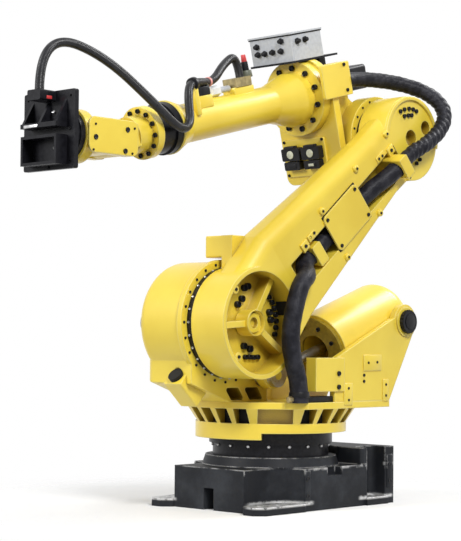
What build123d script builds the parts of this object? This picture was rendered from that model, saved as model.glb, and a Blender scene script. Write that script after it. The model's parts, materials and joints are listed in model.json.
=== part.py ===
"""Six-axis industrial robot arm on a cast base, in millimetres.

The origin lies on the floor under the first axis. +Z is up and +X is forward, the way the arm reaches.
The arm is modelled as it stands: the upper arm leans back, the forearm points forward and a little down,
and the hand levels the tool plate.
"""
import os
from math import cos, pi, radians, sin

from build123d import *

# Axes: link lengths and the angles at which the arm stands
j2_forward = 350
j2_height = 690
upper_arm_length = 1075
arm_lean = 47
forearm_rise = 225
forearm_reach = 1280
forearm_dip = 14.5
hand_reach = 215

# Shared clearances
overrun = 5
running_gap = 0.3
edge_round = 6

# Base casting
base_front = 341
base_rear = 413
base_half_width = 283
base_deck = 156
rear_box_height = 220
rear_box_length = 205
base_edge_round = 14
front_pocket_length = 214
front_pocket_width = 105
front_pocket_round = 98
rear_pocket_length = 110
rear_pocket_width = 70
rear_pocket_offset = 64
rear_pocket_round = 30
foot_height = 30
front_foot_length = 250
front_foot_reach = 40
rear_foot_length = 130
foot_side_reach = 10
foot_chamfer = 34
foot_hole_radius = 13
foot_hole_line = 250
front_foot_holes = (235, 335)
rear_foot_holes = (-262, -322)
fork_slot_width = 50
fork_slot_height = 80
cable_notch_length = 84
cable_notch_depth = 31
cable_notch_width = 36
cable_notch_x = -46
connector_plate_width = 330
connector_plate_height = 130
connector_plate_thickness = 10
connector_plate_lift = 45

# First axis: fixed boss and reducer ring
boss_foot_radius = 262
boss_radius = 250
boss_height = 37
ring1_radius = 222
ring1_step_radius = 236
ring1_step_share = 0.5

# Turntable skirt and deck
skirt_low = 284
skirt_rim_radius = 289
skirt_rim_height = 36
skirt_slot_height = 55
skirt_slot_width = 52
skirt_slot_depth = 64
skirt_slot_pitch = 14
skirt_slots_a_side = 4
skirt_panel_width = 130
skirt_panel_depth = 26
skirt_lip_drop = 24
skirt_lip_depth = 24
skirt_lip_start = -50
skirt_lip_sweep = 85
deck_radius = 325
deck_thickness = 25
platform_front = 212
platform_chamfer = 60

# Second axis housing on the turntable
drum_radius = 225
drum_outer_y = 88
drum_inner_y = -150
drum_round = 42
drum_rim_width = 22
drum_rim_rise = 7
ring2_radius = 203
pedestal_rear = 120
pedestal_front = 330
pedestal_toe_height = 470
pedestal_tangent_angle = -38
pedestal_pocket_depth = 90
pedestal_pocket_lean = 34
pedestal_pocket_round = 8
pedestal_pocket_shares = ((0.10, 0.46), (0.60, 0.94))
stop_radius = 268
stop_angle = -47
stop_y = 20
stop_width = 86
stop_length = 74
stop_height = 120
stop_pad_radius = 28
stop_pad_height = 14
motor_side = 130
motor_length = 150
motor_cap_length = 46
motor_cap_radius = 60
motor_round = 14

# Balancer and the walls that carry it
wall_outer_y = 318
wall_thickness = 24
trunnion_x = -430
trunnion_z = 704
wall_rear_foot = -330
wall_front_foot = 0
wall_front_height = 560
wall_head_radius = 68
wall_head_drop = 26
wall_head_rise = 58
wall_head_back = 60
wall_head_front = 34
trunnion_radius = 30
trunnion_boss_radius = 58
trunnion_boss_height = 6
trunnion_cap_radius = 44
trunnion_cap_height = 18
balancer_y = 148
balancer_radius = 142
balancer_front = 350
balancer_tail = 96
balancer_tail_round = 62
balancer_bore = 66
balancer_bore_depth = 250
balancer_plate_thickness = 14
balancer_plate_radius = 130
balancer_mouth = 64
rod_radius = 20
rod_tail = 400
rod_eye_radius = 44
rod_eye_thickness = 22
pin_arm = 262
pin_radius = 18
lug_thickness = 40
lug_radius = 52
hose_bracket_length = 165
hose_bracket_height = 125
hose_bracket_leg = 48
hose_bracket_thickness = 8
hose_bracket_foot = 440

# Upper arm casting: thickness and crank, then the sections of its beam as shares
arm_inner_y = 110
arm_outer_y = 268
inner_crank = 95
outer_crank = 70
shoulder_radius = 203
elbow_radius = 166
arm_station_shares = (0.037, 0.21, 0.80, 0.893, 0.967)
arm_crank_shares = (0, 0, 1, 1, 1)
arm_front_shares = (0.965, 1.07, 0.80, 0.76, 0.74)
arm_rear_shares = (0.965, 0.82, 0.50, 0.56, 0.74)
beam_round = 58
rim_round = 12
channel_floor_drop = 84
channel_front = 52
channel_rear = 66
channel_start_share = 0.235
channel_end_share = 0.90
hub_radius = 36
hub_bore = 20
hub_bore_depth = 60
hub_drop = 40
shoulder_dish_radius = 186
shoulder_dish_depth = 92
shoulder_rib = 24
shoulder_rib_angles = (77, 219, -16)
elbow_hub_radius = 33
elbow_hub_depth = 40
elbow_pocket_circle = 106
elbow_pocket_width = 64
elbow_pocket_depth = 36
elbow_pocket_start = 42
elbow_pocket_sweep = 78
elbow_hole_radius = 28
elbow_hole_angle = 152
arm_lug_inner_y = 30
arm_lug_root = 50
arm_lug_near = 238
arm_lug_far = 318
arm_lug_half_width = 48

# Fittings on the upper arm
cover_start_share = 0.445
cover_length = 218
cover_front = 84
cover_width = 160
cover_thickness = 8
cover_corner = 20
clamp_length = 46
clamp_wall = 9
clamp_width = 88
clamp_v = 14
clamp_rise = 20
lower_clamp_share = 0.37
upper_clamp_share = 0.851
loom_climb_share = 0.69

# Third axis
ring3_radius = 146
casing_boss_radius = 178
ring3_inner_y = 180

# Forearm casing
casing_left_y = 158
casing_right_y = -138
casing_front = 220
front_plate_thickness = 36
front_plate_radius = 156
front_plate_round = 34
casing_rear = 68
casing_top = 330
casing_shoulder = 190
casing_foot = -122
casing_body_left_y = 112
casing_body_right_y = -118
casing_body_round = 20
casing_heel_share = 0.8
neck_radius = 148
neck_length = 42
wrist_motor_side = 98
wrist_motor_length = 150
wrist_motor_pitch = 106
wrist_motor_lift = 262

# Forearm tube
tube_radius = 72
cone_radius = 106
cone_root = 40
cone_length = 165
tube_flare_radius = 99
tube_flare_length = 72
tube_rim = 10
ring4_start = 996
ring4_radius = 96
ring4_waist = 89
ring4_flange = 30
ring4_length = 98
wrist_flange_radius = 95
wrist_flange_thickness = 32

# Wrist and hand
wrist_neck_radius = 68
cheek_sweep = 92
barrel_neck_half_height = 40
barrel_radius = 60
barrel_half_width = 60
cheek_thickness = 34
cheek_half_height = 61
cheek_tail = 46
cheek_round = 26
hand_bridge = 92
hand_housing_radius = 93
hand_housing_start = 140
hand_housing_length = 42
hand_cover_thickness = 7
ring6_radius = 84
ring6_length = 20
tool_flange_radius = 78

# Tool plate and its brackets
adapter_radius = 84
adapter_length = 42
plate_width = 262
plate_height = 266
plate_lift = 7
plate_thickness = 16
plate_corner = 8
frame_wall = 10
frame_depth = 48
pocket_width = 182
pocket_height = 100
pocket_drop = 62
shelf_height = 16
shelf_depth = 50
shelf_rise = 14
gusset_thickness = 12
gusset_height = 78
gusset_base = 44
hose_block_width = 66
hose_block_height = 36
hose_block_depth = 70
hose_seat_depth = 45
plate_hole_radius = 5
plate_hole_inset = 22

# Fittings on the forearm
cable_cover_rear = 107
cable_cover_length = 170
cable_cover_low = 208
cable_cover_height = 132
cable_cover_depth = 14
box_rear = 122
box_length = 186
box_right_y = -147
box_width = 217
box_low = 374
box_height = 104
box_lid_thickness = 6
box_lid_overhang = 5
shelf_plate_thickness = 8
shelf_plate_rear = 40
shelf_plate_front = 322
shelf_leg_size = 36
shelf_leg_pitch = 72
shelf_leg_spread = 100
panel_low = -88
panel_height = 150
panel_right_y = -126
panel_width = 212
panel_thickness = 8
connector_depth = 30
large_connector_length = 90
large_connector_height = 50
small_connector_length = 78
small_connector_height = 34
connector_gap = 12
connector_row_gap = 4
saddle_start = 520
saddle_length = 110
saddle_width = 64
saddle_rise = 92
manifold_length = 92
manifold_width = 70
manifold_height = 34
guide_share = 0.74
guide_length = 24
guide_wall = 8
guide_post = 34
guide_clearance = 1.2

# Hoses
loom_radius = 34
elbow_loom_radius = 30
wrist_hose_radius = 16
bend_share = 0.45
arm_loom_lead = 60
wrist_lead = 46
middle_lead = 126
front_lead = 75
hose_drop = 104

# Places worked out from the sizes above
deck_low = skirt_low + skirt_rim_height + skirt_slot_height
deck_top = deck_low + deck_thickness
arm_angle = 90 + arm_lean
j2 = Vector(j2_forward, 0, j2_height)
arm_along = Vector(cos(radians(arm_angle)), 0, sin(radians(arm_angle)))
arm_back = Vector(-arm_along.Z, 0, arm_along.X)
j3 = j2 + arm_along * upper_arm_length
fore_along = Vector(cos(radians(forearm_dip)), 0, -sin(radians(forearm_dip)))
fore_up = Vector(sin(radians(forearm_dip)), 0, cos(radians(forearm_dip)))
j5 = j3 + fore_along * forearm_reach + fore_up * forearm_rise
elbow_outer_y = arm_outer_y + outer_crank
elbow_inner_y = arm_inner_y + inner_crank
crank_start = upper_arm_length * arm_station_shares[1]
crank_end = upper_arm_length * arm_station_shares[2]
channel_start = upper_arm_length * channel_start_share
channel_end = upper_arm_length * channel_end_share
lower_clamp_u = upper_arm_length * lower_clamp_share
upper_clamp_u = upper_arm_length * upper_clamp_share
tube_end = ring4_start - tube_rim - tube_flare_length
wrist_start = ring4_start + ring4_length
trunnion = Vector(trunnion_x, balancer_y, trunnion_z)
pin_angle = 180 + arm_lean
pin = j2 + Vector(cos(radians(pin_angle)), 0, sin(radians(pin_angle))) * pin_arm + Vector(0, balancer_y, 0)
rod_line = (pin - trunnion).normalized()
rod_length = (pin - trunnion).length
wall_inner_y = wall_outer_y - wall_thickness
far_wall_outer_y = 2 * balancer_y - wall_inner_y
platform_right_y = far_wall_outer_y - wall_thickness
trunnion_outer_y = wall_outer_y + trunnion_boss_height
trunnion_span = trunnion_outer_y - platform_right_y + trunnion_boss_height
fixed_ring_top = base_deck + boss_height


def side_plane(origin, along, y):
    """A plane seen from the right: local x runs along a link, and the normal points to -Y."""
    return Plane(origin=(origin.X, y, origin.Z), x_dir=along, z_dir=(0, -1, 0))


def world_side(y):
    return side_plane(Vector(0, 0, 0), Vector(1, 0, 0), y)


def arm_side(y):
    return side_plane(j2, arm_along, y)


def fore_side(y):
    return side_plane(j3, fore_along, y)


def fore_across(x):
    """A plane across the forearm, centred on its own axis, that looks forward."""
    centre = j3 + fore_along * x + fore_up * forearm_rise
    return Plane(origin=centre, x_dir=(0, 1, 0), z_dir=fore_along)


def fore_level(rise):
    """A plane along the forearm at a height above the elbow axis: local x forward, local y left."""
    return Plane(origin=j3 + fore_up * rise, x_dir=fore_along, z_dir=fore_up)


def hand_across(x):
    """A plane across the level hand, centred on the tool axis, that looks forward."""
    return Plane(origin=j5 + Vector(x, 0, 0), x_dir=(0, 1, 0), z_dir=(1, 0, 0))


def hand_side(y):
    return side_plane(j5, Vector(1, 0, 0), y)


def rod_across(x):
    """A plane across the balancer at a distance in front of its trunnion."""
    return Plane(origin=trunnion + rod_line * x, x_dir=(0, 1, 0), z_dir=rod_line)


def arm_point(u, v, y):
    return j2 + arm_along * u + arm_back * v + Vector(0, y, 0)


def fore_point(x, y, w):
    return j3 + fore_along * x + fore_up * w + Vector(0, y, 0)


def arm_across(u):
    """A plane across the upper arm: local x to the left, local y towards the arm's back."""
    return Plane(origin=arm_point(u, 0, 0), x_dir=(0, 1, 0), z_dir=arm_along)


def arm_face(u, v, drop=0):
    """A plane on the cranked left face of the upper arm: local x along the arm, normal to the left."""
    along = arm_along * (crank_end - crank_start) + Vector(0, outer_crank, 0)
    normal = along.cross(arm_back).normalized()
    if normal.Y < 0:
        normal = normal * -1
    face_y = arm_outer_y + outer_crank * (u - crank_start) / (crank_end - crank_start)
    origin = arm_point(u, v, face_y) - normal * drop
    return Plane(origin=origin, x_dir=along, z_dir=normal)


def save(builder, name):
    builder.part.label = name
    export_step(builder.part, f"parts/{name}.step")


trunnion_faces = ((world_side(wall_outer_y), -1), (world_side(platform_right_y), 1))
os.makedirs("parts", exist_ok=True)

# Base casting: block with hollowed corners, feet, rear box and round boss
rear_pocket_x = rear_pocket_offset + rear_pocket_length / 2 - base_rear
with BuildPart() as base_casting:
    with BuildSketch():
        with Locations(((base_front - base_rear) / 2, 0)):
            RectangleRounded(base_front + base_rear, 2 * base_half_width, base_edge_round)
    extrude(amount=base_deck)
    with BuildSketch(Plane.XY.offset(base_deck)):
        with Locations((rear_box_length / 2 - base_rear, 0)):
            RectangleRounded(rear_box_length, 2 * base_half_width, base_edge_round)
    extrude(amount=rear_box_height - base_deck)
    with BuildSketch(Plane.XY.offset(base_deck)):
        Circle(boss_foot_radius)
    extrude(amount=rear_box_height, mode=Mode.SUBTRACT)
    with BuildSketch():
        for side in (-1, 1):
            with Locations((base_front, side * base_half_width)):
                RectangleRounded(2 * front_pocket_length, 2 * front_pocket_width, front_pocket_round)
            with Locations((rear_pocket_x, side * base_half_width)):
                RectangleRounded(rear_pocket_length, 2 * rear_pocket_width, rear_pocket_round)
    extrude(amount=rear_box_height + overrun, mode=Mode.SUBTRACT)
    with BuildSketch():
        for side in (-1, 1):
            foot_y = side * (base_half_width - front_pocket_width / 2 + foot_side_reach / 2)
            with Locations((base_front + front_foot_reach - front_foot_length / 2, foot_y)):
                Rectangle(front_foot_length, front_pocket_width + foot_side_reach)
            foot_y = side * (base_half_width - rear_pocket_width / 2 + foot_side_reach / 2)
            with Locations((rear_pocket_x, foot_y)):
                Rectangle(rear_foot_length, rear_pocket_width + foot_side_reach)
    extrude(amount=foot_height)
    foot_corners = base_casting.edges().filter_by(Axis.Z).group_by(Axis.X)[-1]
    chamfer(foot_corners, foot_chamfer)
    with BuildSketch():
        for side in (-1, 1):
            for hole_x in front_foot_holes + rear_foot_holes:
                with Locations((hole_x, side * foot_hole_line)):
                    Circle(foot_hole_radius)
    extrude(amount=foot_height + overrun, mode=Mode.SUBTRACT)
    with BuildSketch(Plane.YZ.offset(base_front - front_pocket_width)):
        Rectangle(fork_slot_width, 2 * fork_slot_height)
    extrude(amount=front_pocket_width + overrun, mode=Mode.SUBTRACT)
    with BuildSketch(Plane.XY.offset(base_deck - cable_notch_depth)):
        for side in (-1, 1):
            with Locations((cable_notch_x, side * base_half_width)):
                Rectangle(cable_notch_length, 2 * cable_notch_width)
    extrude(amount=cable_notch_depth + overrun, mode=Mode.SUBTRACT)
    with BuildSketch(Plane.XZ):
        with BuildLine():
            Polyline(
                (0, base_deck),
                (boss_foot_radius, base_deck),
                (boss_radius, base_deck + boss_height),
                (0, base_deck + boss_height),
                close=True,
            )
        make_face()
    revolve(axis=Axis.Z)
save(base_casting, "base_casting")

# Connector plate at the back of the base
with BuildPart() as connector_plate:
    with BuildSketch(Plane.YZ.offset(-base_rear - connector_plate_thickness)):
        with Locations((0, connector_plate_lift + connector_plate_height / 2)):
            RectangleRounded(connector_plate_width, connector_plate_height, edge_round)
    extrude(amount=connector_plate_thickness)
save(connector_plate, "connector_plate")

# First axis reducer ring, fixed to the base under the skirt
with BuildPart() as j1_ring:
    ring1_height = skirt_low - fixed_ring_top - running_gap
    with BuildSketch(Plane.XY.offset(fixed_ring_top)):
        Circle(ring1_radius)
    extrude(amount=ring1_height)
    with BuildSketch(Plane.XY.offset(fixed_ring_top + ring1_height * ring1_step_share)):
        Circle(ring1_step_radius)
    extrude(amount=ring1_height * (1 - ring1_step_share))
save(j1_ring, "j1_reducer_ring")

# Turntable: two rims joined by a slotted cone, under a deck with a platform for the balancer
lip_start = radians(skirt_lip_start)
lip_plane = Plane(
    origin=(0, 0, 0),
    x_dir=(cos(lip_start), sin(lip_start), 0),
    z_dir=(sin(lip_start), -cos(lip_start), 0),
)
with BuildPart() as turntable:
    with BuildSketch(Plane.XZ):
        with BuildLine():
            Polyline(
                (0, skirt_low),
                (skirt_rim_radius, skirt_low),
                (skirt_rim_radius, skirt_low + skirt_rim_height),
                (deck_radius, deck_low),
                (0, deck_low),
                close=True,
            )
        make_face()
    revolve(axis=Axis.Z)
    with BuildSketch(Plane.XY.offset(skirt_low + skirt_rim_height)):
        first_slot = -skirt_slot_pitch * (skirt_slots_a_side - 1) / 2
        for quarter in range(4):
            for n in range(skirt_slots_a_side):
                slot_angle = quarter * 90 + first_slot + n * skirt_slot_pitch
                with PolarLocations(deck_radius - skirt_slot_depth / 2, 1, slot_angle):
                    Rectangle(skirt_slot_depth, skirt_slot_width)
        with PolarLocations(deck_radius, 4, 45):
            Rectangle(2 * (deck_radius - skirt_rim_radius + skirt_panel_depth), skirt_panel_width)
    extrude(amount=skirt_slot_height, mode=Mode.SUBTRACT)
    with BuildSketch(lip_plane):
        with Locations((skirt_rim_radius - skirt_lip_depth / 2, skirt_low - skirt_lip_drop / 2)):
            Rectangle(skirt_lip_depth, skirt_lip_drop)
    revolve(axis=Axis.Z, revolution_arc=skirt_lip_sweep)
    with BuildSketch(Plane.XY.offset(deck_low)) as deck_plan:
        with Locations(((wall_rear_foot + platform_front) / 2, (wall_outer_y + platform_right_y) / 2)):
            Rectangle(platform_front - wall_rear_foot, wall_outer_y - platform_right_y)
        front_left = deck_plan.vertices().sort_by(Axis.X)[-2:].sort_by(Axis.Y)[-1]
        chamfer(front_left, platform_chamfer)
        Circle(deck_radius)
    extrude(amount=deck_thickness)
save(turntable, "turntable")

# Second axis housing: drum on its pedestal, with the forward stop block on its nose
stop_out = Vector(cos(radians(stop_angle)), 0, sin(radians(stop_angle)))
stop_up = Vector(-stop_out.Z, 0, stop_out.X)
stop_seat = j2 + stop_out * stop_radius + Vector(0, stop_y, 0)
stop_plane = Plane(origin=stop_seat, x_dir=stop_out, z_dir=stop_up)
with BuildPart() as drum:
    tangent = Vector(cos(radians(pedestal_tangent_angle)), 0, sin(radians(pedestal_tangent_angle)))
    nose = j2 + tangent * drum_radius
    with BuildSketch(world_side(drum_outer_y)):
        with BuildLine():
            Polyline(
                (pedestal_rear, deck_top),
                (pedestal_front, deck_top),
                (nose.X, pedestal_toe_height),
                (nose.X, nose.Z),
                (j2_forward, j2_height),
                (j2_forward - drum_radius, j2_height),
                close=True,
            )
        make_face()
        with Locations((j2_forward, j2_height)):
            Circle(drum_radius)
    extrude(amount=drum_outer_y - drum_inner_y)
    fillet(drum.faces().sort_by(Axis.Y)[0].edges(), drum_round)
    with BuildSketch(world_side(drum_outer_y)):
        with Locations((j2_forward, j2_height)):
            Circle(drum_radius + drum_rim_rise)
    extrude(amount=drum_rim_width)
    pocket_high = j2_height - drum_radius - drum_rim_rise - deck_top
    with BuildSketch(world_side(drum_outer_y)) as pockets:
        for low_share, high_share in pedestal_pocket_shares:
            span = pedestal_front - pedestal_rear
            pocket_low = pedestal_rear + span * low_share
            pocket_far = pedestal_rear + span * high_share
            with BuildLine():
                Polyline(
                    (pocket_low, deck_top + edge_round),
                    (pocket_far, deck_top + edge_round),
                    (pocket_far + pedestal_pocket_lean, deck_top + pocket_high - edge_round),
                    (pocket_low + pedestal_pocket_lean, deck_top + pocket_high - edge_round),
                    close=True,
                )
            make_face()
        fillet(pockets.vertices(), pedestal_pocket_round)
    extrude(amount=pedestal_pocket_depth, mode=Mode.SUBTRACT)
    with BuildSketch(stop_plane.offset(-stop_height)):
        RectangleRounded(stop_length, stop_width, edge_round)
    extrude(amount=stop_height)
    with BuildSketch(stop_plane):
        Circle(stop_pad_radius + running_gap)
    extrude(amount=stop_height, mode=Mode.SUBTRACT)
save(drum, "j2_housing")

# Rubber pad on the forward stop
with BuildPart() as stop_pad:
    with BuildSketch(stop_plane):
        Circle(stop_pad_radius)
    extrude(amount=stop_pad_height)
save(stop_pad, "forward_stop_pad")

# Second axis motor on the right of the housing
with BuildPart() as j2_motor:
    with BuildSketch(world_side(drum_inner_y)):
        with Locations((j2_forward, j2_height)):
            RectangleRounded(motor_side, motor_side, motor_round)
    extrude(amount=motor_length - motor_cap_length)
    with BuildSketch(world_side(drum_inner_y - motor_length + motor_cap_length)):
        with Locations((j2_forward, j2_height)):
            Circle(motor_cap_radius)
    extrude(amount=motor_cap_length)
save(j2_motor, "j2_motor")

# Balancer walls, left and right of the spring cylinder
with BuildPart() as walls:
    for wall_y in (wall_outer_y, far_wall_outer_y):
        with BuildSketch(world_side(wall_y)):
            with BuildLine():
                Polyline(
                    (wall_front_foot, deck_top),
                    (wall_rear_foot, deck_top),
                    (trunnion_x - wall_head_back, trunnion_z - wall_head_drop),
                    (trunnion_x - wall_head_front, trunnion_z + wall_head_rise),
                    (wall_front_foot, wall_front_height),
                    close=True,
                )
            make_face()
            with Locations((trunnion_x, trunnion_z)):
                Circle(wall_head_radius)
        extrude(amount=wall_thickness)
    for boss_plane, direction in trunnion_faces:
        with BuildSketch(boss_plane):
            with Locations((trunnion_x, trunnion_z)):
                Circle(trunnion_boss_radius)
        extrude(amount=direction * trunnion_boss_height)
    with BuildSketch(world_side(trunnion_outer_y)):
        with Locations((trunnion_x, trunnion_z)):
            Circle(trunnion_radius + running_gap)
    extrude(amount=trunnion_span, mode=Mode.SUBTRACT)
save(walls, "balancer_walls")

# Caps over the ends of the trunnion
with BuildPart() as trunnion_caps:
    for cap_plane, direction in trunnion_faces:
        with BuildSketch(cap_plane.offset(direction * trunnion_boss_height)):
            with Locations((trunnion_x, trunnion_z)):
                Circle(trunnion_cap_radius)
        extrude(amount=direction * trunnion_cap_height)
save(trunnion_caps, "trunnion_caps")

# Bent plate that guards the foot of the loom
with BuildPart() as hose_bracket:
    bracket_rear = wall_front_foot - hose_bracket_leg
    with BuildSketch(Plane.XY.offset(hose_bracket_foot)):
        with Locations((bracket_rear + hose_bracket_length / 2, wall_outer_y + hose_bracket_thickness / 2)):
            Rectangle(hose_bracket_length, hose_bracket_thickness)
        leg_x = bracket_rear + hose_bracket_length - hose_bracket_thickness / 2
        with Locations((leg_x, wall_outer_y + hose_bracket_thickness - hose_bracket_leg / 2)):
            Rectangle(hose_bracket_thickness, hose_bracket_leg)
    extrude(amount=hose_bracket_height)
save(hose_bracket, "loom_guard")

# Balancer: spring cylinder on its trunnion
with BuildPart() as balancer:
    with BuildSketch(rod_across(-balancer_tail)):
        Circle(balancer_radius)
    extrude(amount=balancer_tail + balancer_front)
    fillet(balancer.faces().sort_by(Axis.X)[0].edges(), balancer_tail_round)
    with BuildSketch(rod_across(balancer_front - balancer_bore_depth)):
        Circle(balancer_bore)
    extrude(amount=balancer_bore_depth + overrun, mode=Mode.SUBTRACT)
    with BuildSketch(world_side(trunnion_outer_y - running_gap)):
        with Locations((trunnion_x, trunnion_z)):
            Circle(trunnion_radius)
    extrude(amount=trunnion_outer_y - running_gap - balancer_y - balancer_bore)
    with BuildSketch(world_side(balancer_y - balancer_bore)):
        with Locations((trunnion_x, trunnion_z)):
            Circle(trunnion_radius)
    extrude(amount=trunnion_span - trunnion_outer_y - running_gap + balancer_y - balancer_bore)
save(balancer, "balancer_cylinder")

with BuildPart() as balancer_plate:
    with BuildSketch(rod_across(balancer_front)):
        Circle(balancer_plate_radius)
        Circle(balancer_mouth, mode=Mode.SUBTRACT)
    extrude(amount=balancer_plate_thickness)
save(balancer_plate, "balancer_front_plate")

# Balancer rod with its forked eye
with BuildPart() as rod:
    fork_gap = lug_thickness + 2 * running_gap
    with BuildSketch(rod_across(rod_length - rod_tail)):
        Circle(rod_radius)
    extrude(amount=rod_tail - lug_radius - edge_round)
    with BuildSketch(rod_across(rod_length - lug_radius - edge_round - rod_eye_thickness)):
        RectangleRounded(fork_gap + 2 * rod_eye_thickness, 2 * rod_radius, edge_round)
    extrude(amount=rod_eye_thickness)
    for fork_y in (balancer_y + fork_gap / 2 + rod_eye_thickness, balancer_y - fork_gap / 2):
        with BuildSketch(side_plane(pin, rod_line, fork_y)):
            Circle(rod_eye_radius)
            with Locations((-(lug_radius + edge_round + rod_eye_thickness) / 2, 0)):
                Rectangle(lug_radius + edge_round + rod_eye_thickness, 2 * rod_radius)
            Circle(pin_radius + running_gap, mode=Mode.SUBTRACT)
        extrude(amount=rod_eye_thickness)
save(rod, "balancer_rod")


def dish_cut(outer, hub, rib, angles):
    """Pockets of a dished hub: a ring between hub and rim, crossed by ribs."""
    Circle(outer)
    Circle(hub, mode=Mode.SUBTRACT)
    for angle in angles:
        with Locations(Location((outer / 2 * cos(radians(angle)), outer / 2 * sin(radians(angle)), 0), angle)):
            Rectangle(outer + 2 * rib, rib, mode=Mode.SUBTRACT)


# Upper arm: a cranked, tapering beam lofted through its sections, between the shoulder and elbow bosses
with BuildPart() as upper_arm:
    for station, crank, front, rear in zip(
        arm_station_shares, arm_crank_shares, arm_front_shares, arm_rear_shares
    ):
        section_inner = arm_inner_y + inner_crank * crank
        section_outer = arm_outer_y + outer_crank * crank
        with BuildSketch(arm_across(upper_arm_length * station)) as section:
            with Locations(((section_inner + section_outer) / 2, shoulder_radius * (rear - front) / 2)):
                Rectangle(section_outer - section_inner, shoulder_radius * (rear + front))
            fillet(section.vertices().group_by(Axis.Y)[0], beam_round)
            fillet(section.vertices().group_by(Axis.Y)[-1], rim_round)
    loft(ruled=True)
    with BuildSketch(arm_side(arm_outer_y)):
        Circle(shoulder_radius)
    extrude(amount=arm_outer_y - arm_inner_y)
    with BuildSketch(side_plane(j3, arm_along, elbow_outer_y)):
        Circle(elbow_radius)
    extrude(amount=elbow_outer_y - elbow_inner_y)
    with BuildSketch(arm_face((channel_start + channel_end) / 2, 0, channel_floor_drop)):
        with Locations((0, (channel_front - channel_rear) / 2)):
            RectangleRounded(channel_end - channel_start, channel_front + channel_rear, edge_round)
    extrude(amount=channel_floor_drop + outer_crank, mode=Mode.SUBTRACT)
    with BuildSketch(arm_side(arm_outer_y)):
        Circle(shoulder_dish_radius)
    extrude(amount=hub_drop, mode=Mode.SUBTRACT)
    with BuildSketch(arm_side(arm_outer_y - hub_drop)):
        dish_cut(shoulder_dish_radius, hub_radius, shoulder_rib, shoulder_rib_angles)
    extrude(amount=shoulder_dish_depth - hub_drop, mode=Mode.SUBTRACT)
    with BuildSketch(arm_side(arm_outer_y - hub_drop)):
        Circle(hub_bore)
    extrude(amount=hub_bore_depth, mode=Mode.SUBTRACT)
    with BuildSketch(side_plane(j3, Vector(1, 0, 0), elbow_outer_y)):
        Circle(elbow_hub_radius)
        with PolarLocations(elbow_pocket_circle, 1, elbow_hole_angle):
            Circle(elbow_hole_radius)
    extrude(amount=elbow_hub_depth, mode=Mode.SUBTRACT)
    with BuildSketch(side_plane(j3, Vector(1, 0, 0), elbow_outer_y)):
        pocket_arc = CenterArc(
            (0, 0), elbow_pocket_circle, elbow_pocket_start, elbow_pocket_sweep, mode=Mode.PRIVATE
        )
        SlotArc(pocket_arc, elbow_pocket_width)
    extrude(amount=elbow_pocket_depth, mode=Mode.SUBTRACT)
    with BuildSketch(world_side(balancer_y + lug_thickness / 2)):
        with Locations((pin.X, pin.Z)):
            Circle(lug_radius)
        lug_middle = (j2 + pin) / 2
        with Locations(Location((lug_middle.X, lug_middle.Z, 0), pin_angle)):
            Rectangle(pin_arm, 2 * lug_radius)
        with Locations((j2_forward, j2_height)):
            Circle(shoulder_radius - overrun, mode=Mode.SUBTRACT)
    extrude(amount=lug_thickness)
    with BuildSketch(side_plane(pin, rod_line, balancer_y + lug_thickness / 2 + running_gap + rod_eye_thickness)):
        Circle(pin_radius)
    extrude(amount=lug_thickness + 2 * running_gap + 2 * rod_eye_thickness)
    with BuildSketch(world_side(arm_inner_y + arm_lug_root)):
        with Locations((j2_forward, j2_height + (arm_lug_near + arm_lug_far) / 2)):
            RectangleRounded(2 * arm_lug_half_width, arm_lug_far - arm_lug_near, edge_round)
    extrude(amount=arm_inner_y + arm_lug_root - arm_lug_inner_y)
    with BuildSketch(world_side(arm_inner_y + arm_lug_root)):
        with Locations((j2_forward, j2_height + (shoulder_radius + arm_lug_far) / 2 - overrun)):
            Rectangle(2 * arm_lug_half_width, arm_lug_far - shoulder_radius + 2 * overrun)
    extrude(amount=arm_lug_root)
save(upper_arm, "upper_arm")

with BuildPart() as j2_ring:
    with BuildSketch(world_side(arm_inner_y)):
        with Locations((j2_forward, j2_height)):
            Circle(ring2_radius)
    extrude(amount=arm_inner_y - drum_outer_y - running_gap)
save(j2_ring, "j2_reducer_ring")

# Cover plate over the loom, and the clamps at its ends
with BuildPart() as cover:
    with BuildSketch(arm_face(upper_arm_length * cover_start_share + cover_length / 2, 0)):
        with Locations((0, cover_front - cover_width / 2)):
            RectangleRounded(cover_length, cover_width, cover_corner)
    extrude(amount=cover_thickness)
save(cover, "loom_cover")

loom_drop = channel_floor_drop - loom_radius - clamp_wall
with BuildPart() as clamps:
    for clamp_u, clamp_drop in ((lower_clamp_u, loom_drop), (upper_clamp_u, -clamp_rise)):
        seat = arm_face(clamp_u, clamp_v, channel_floor_drop)
        with BuildSketch(seat):
            RectangleRounded(clamp_length, clamp_width, edge_round)
        extrude(amount=channel_floor_drop - clamp_drop + loom_radius + clamp_wall)
        bore_centre = arm_face(clamp_u, clamp_v, clamp_drop).origin
        with BuildSketch(Plane(origin=bore_centre, x_dir=seat.y_dir, z_dir=seat.x_dir)):
            Circle(loom_radius + running_gap)
        extrude(amount=clamp_length, both=True, mode=Mode.SUBTRACT)
save(clamps, "loom_clamps")

# Third axis reducer ring
with BuildPart() as j3_ring:
    with BuildSketch(side_plane(j3, fore_along, elbow_inner_y - running_gap)):
        Circle(ring3_radius)
    extrude(amount=elbow_inner_y - running_gap - ring3_inner_y)
save(j3_ring, "j3_reducer_ring")

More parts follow.
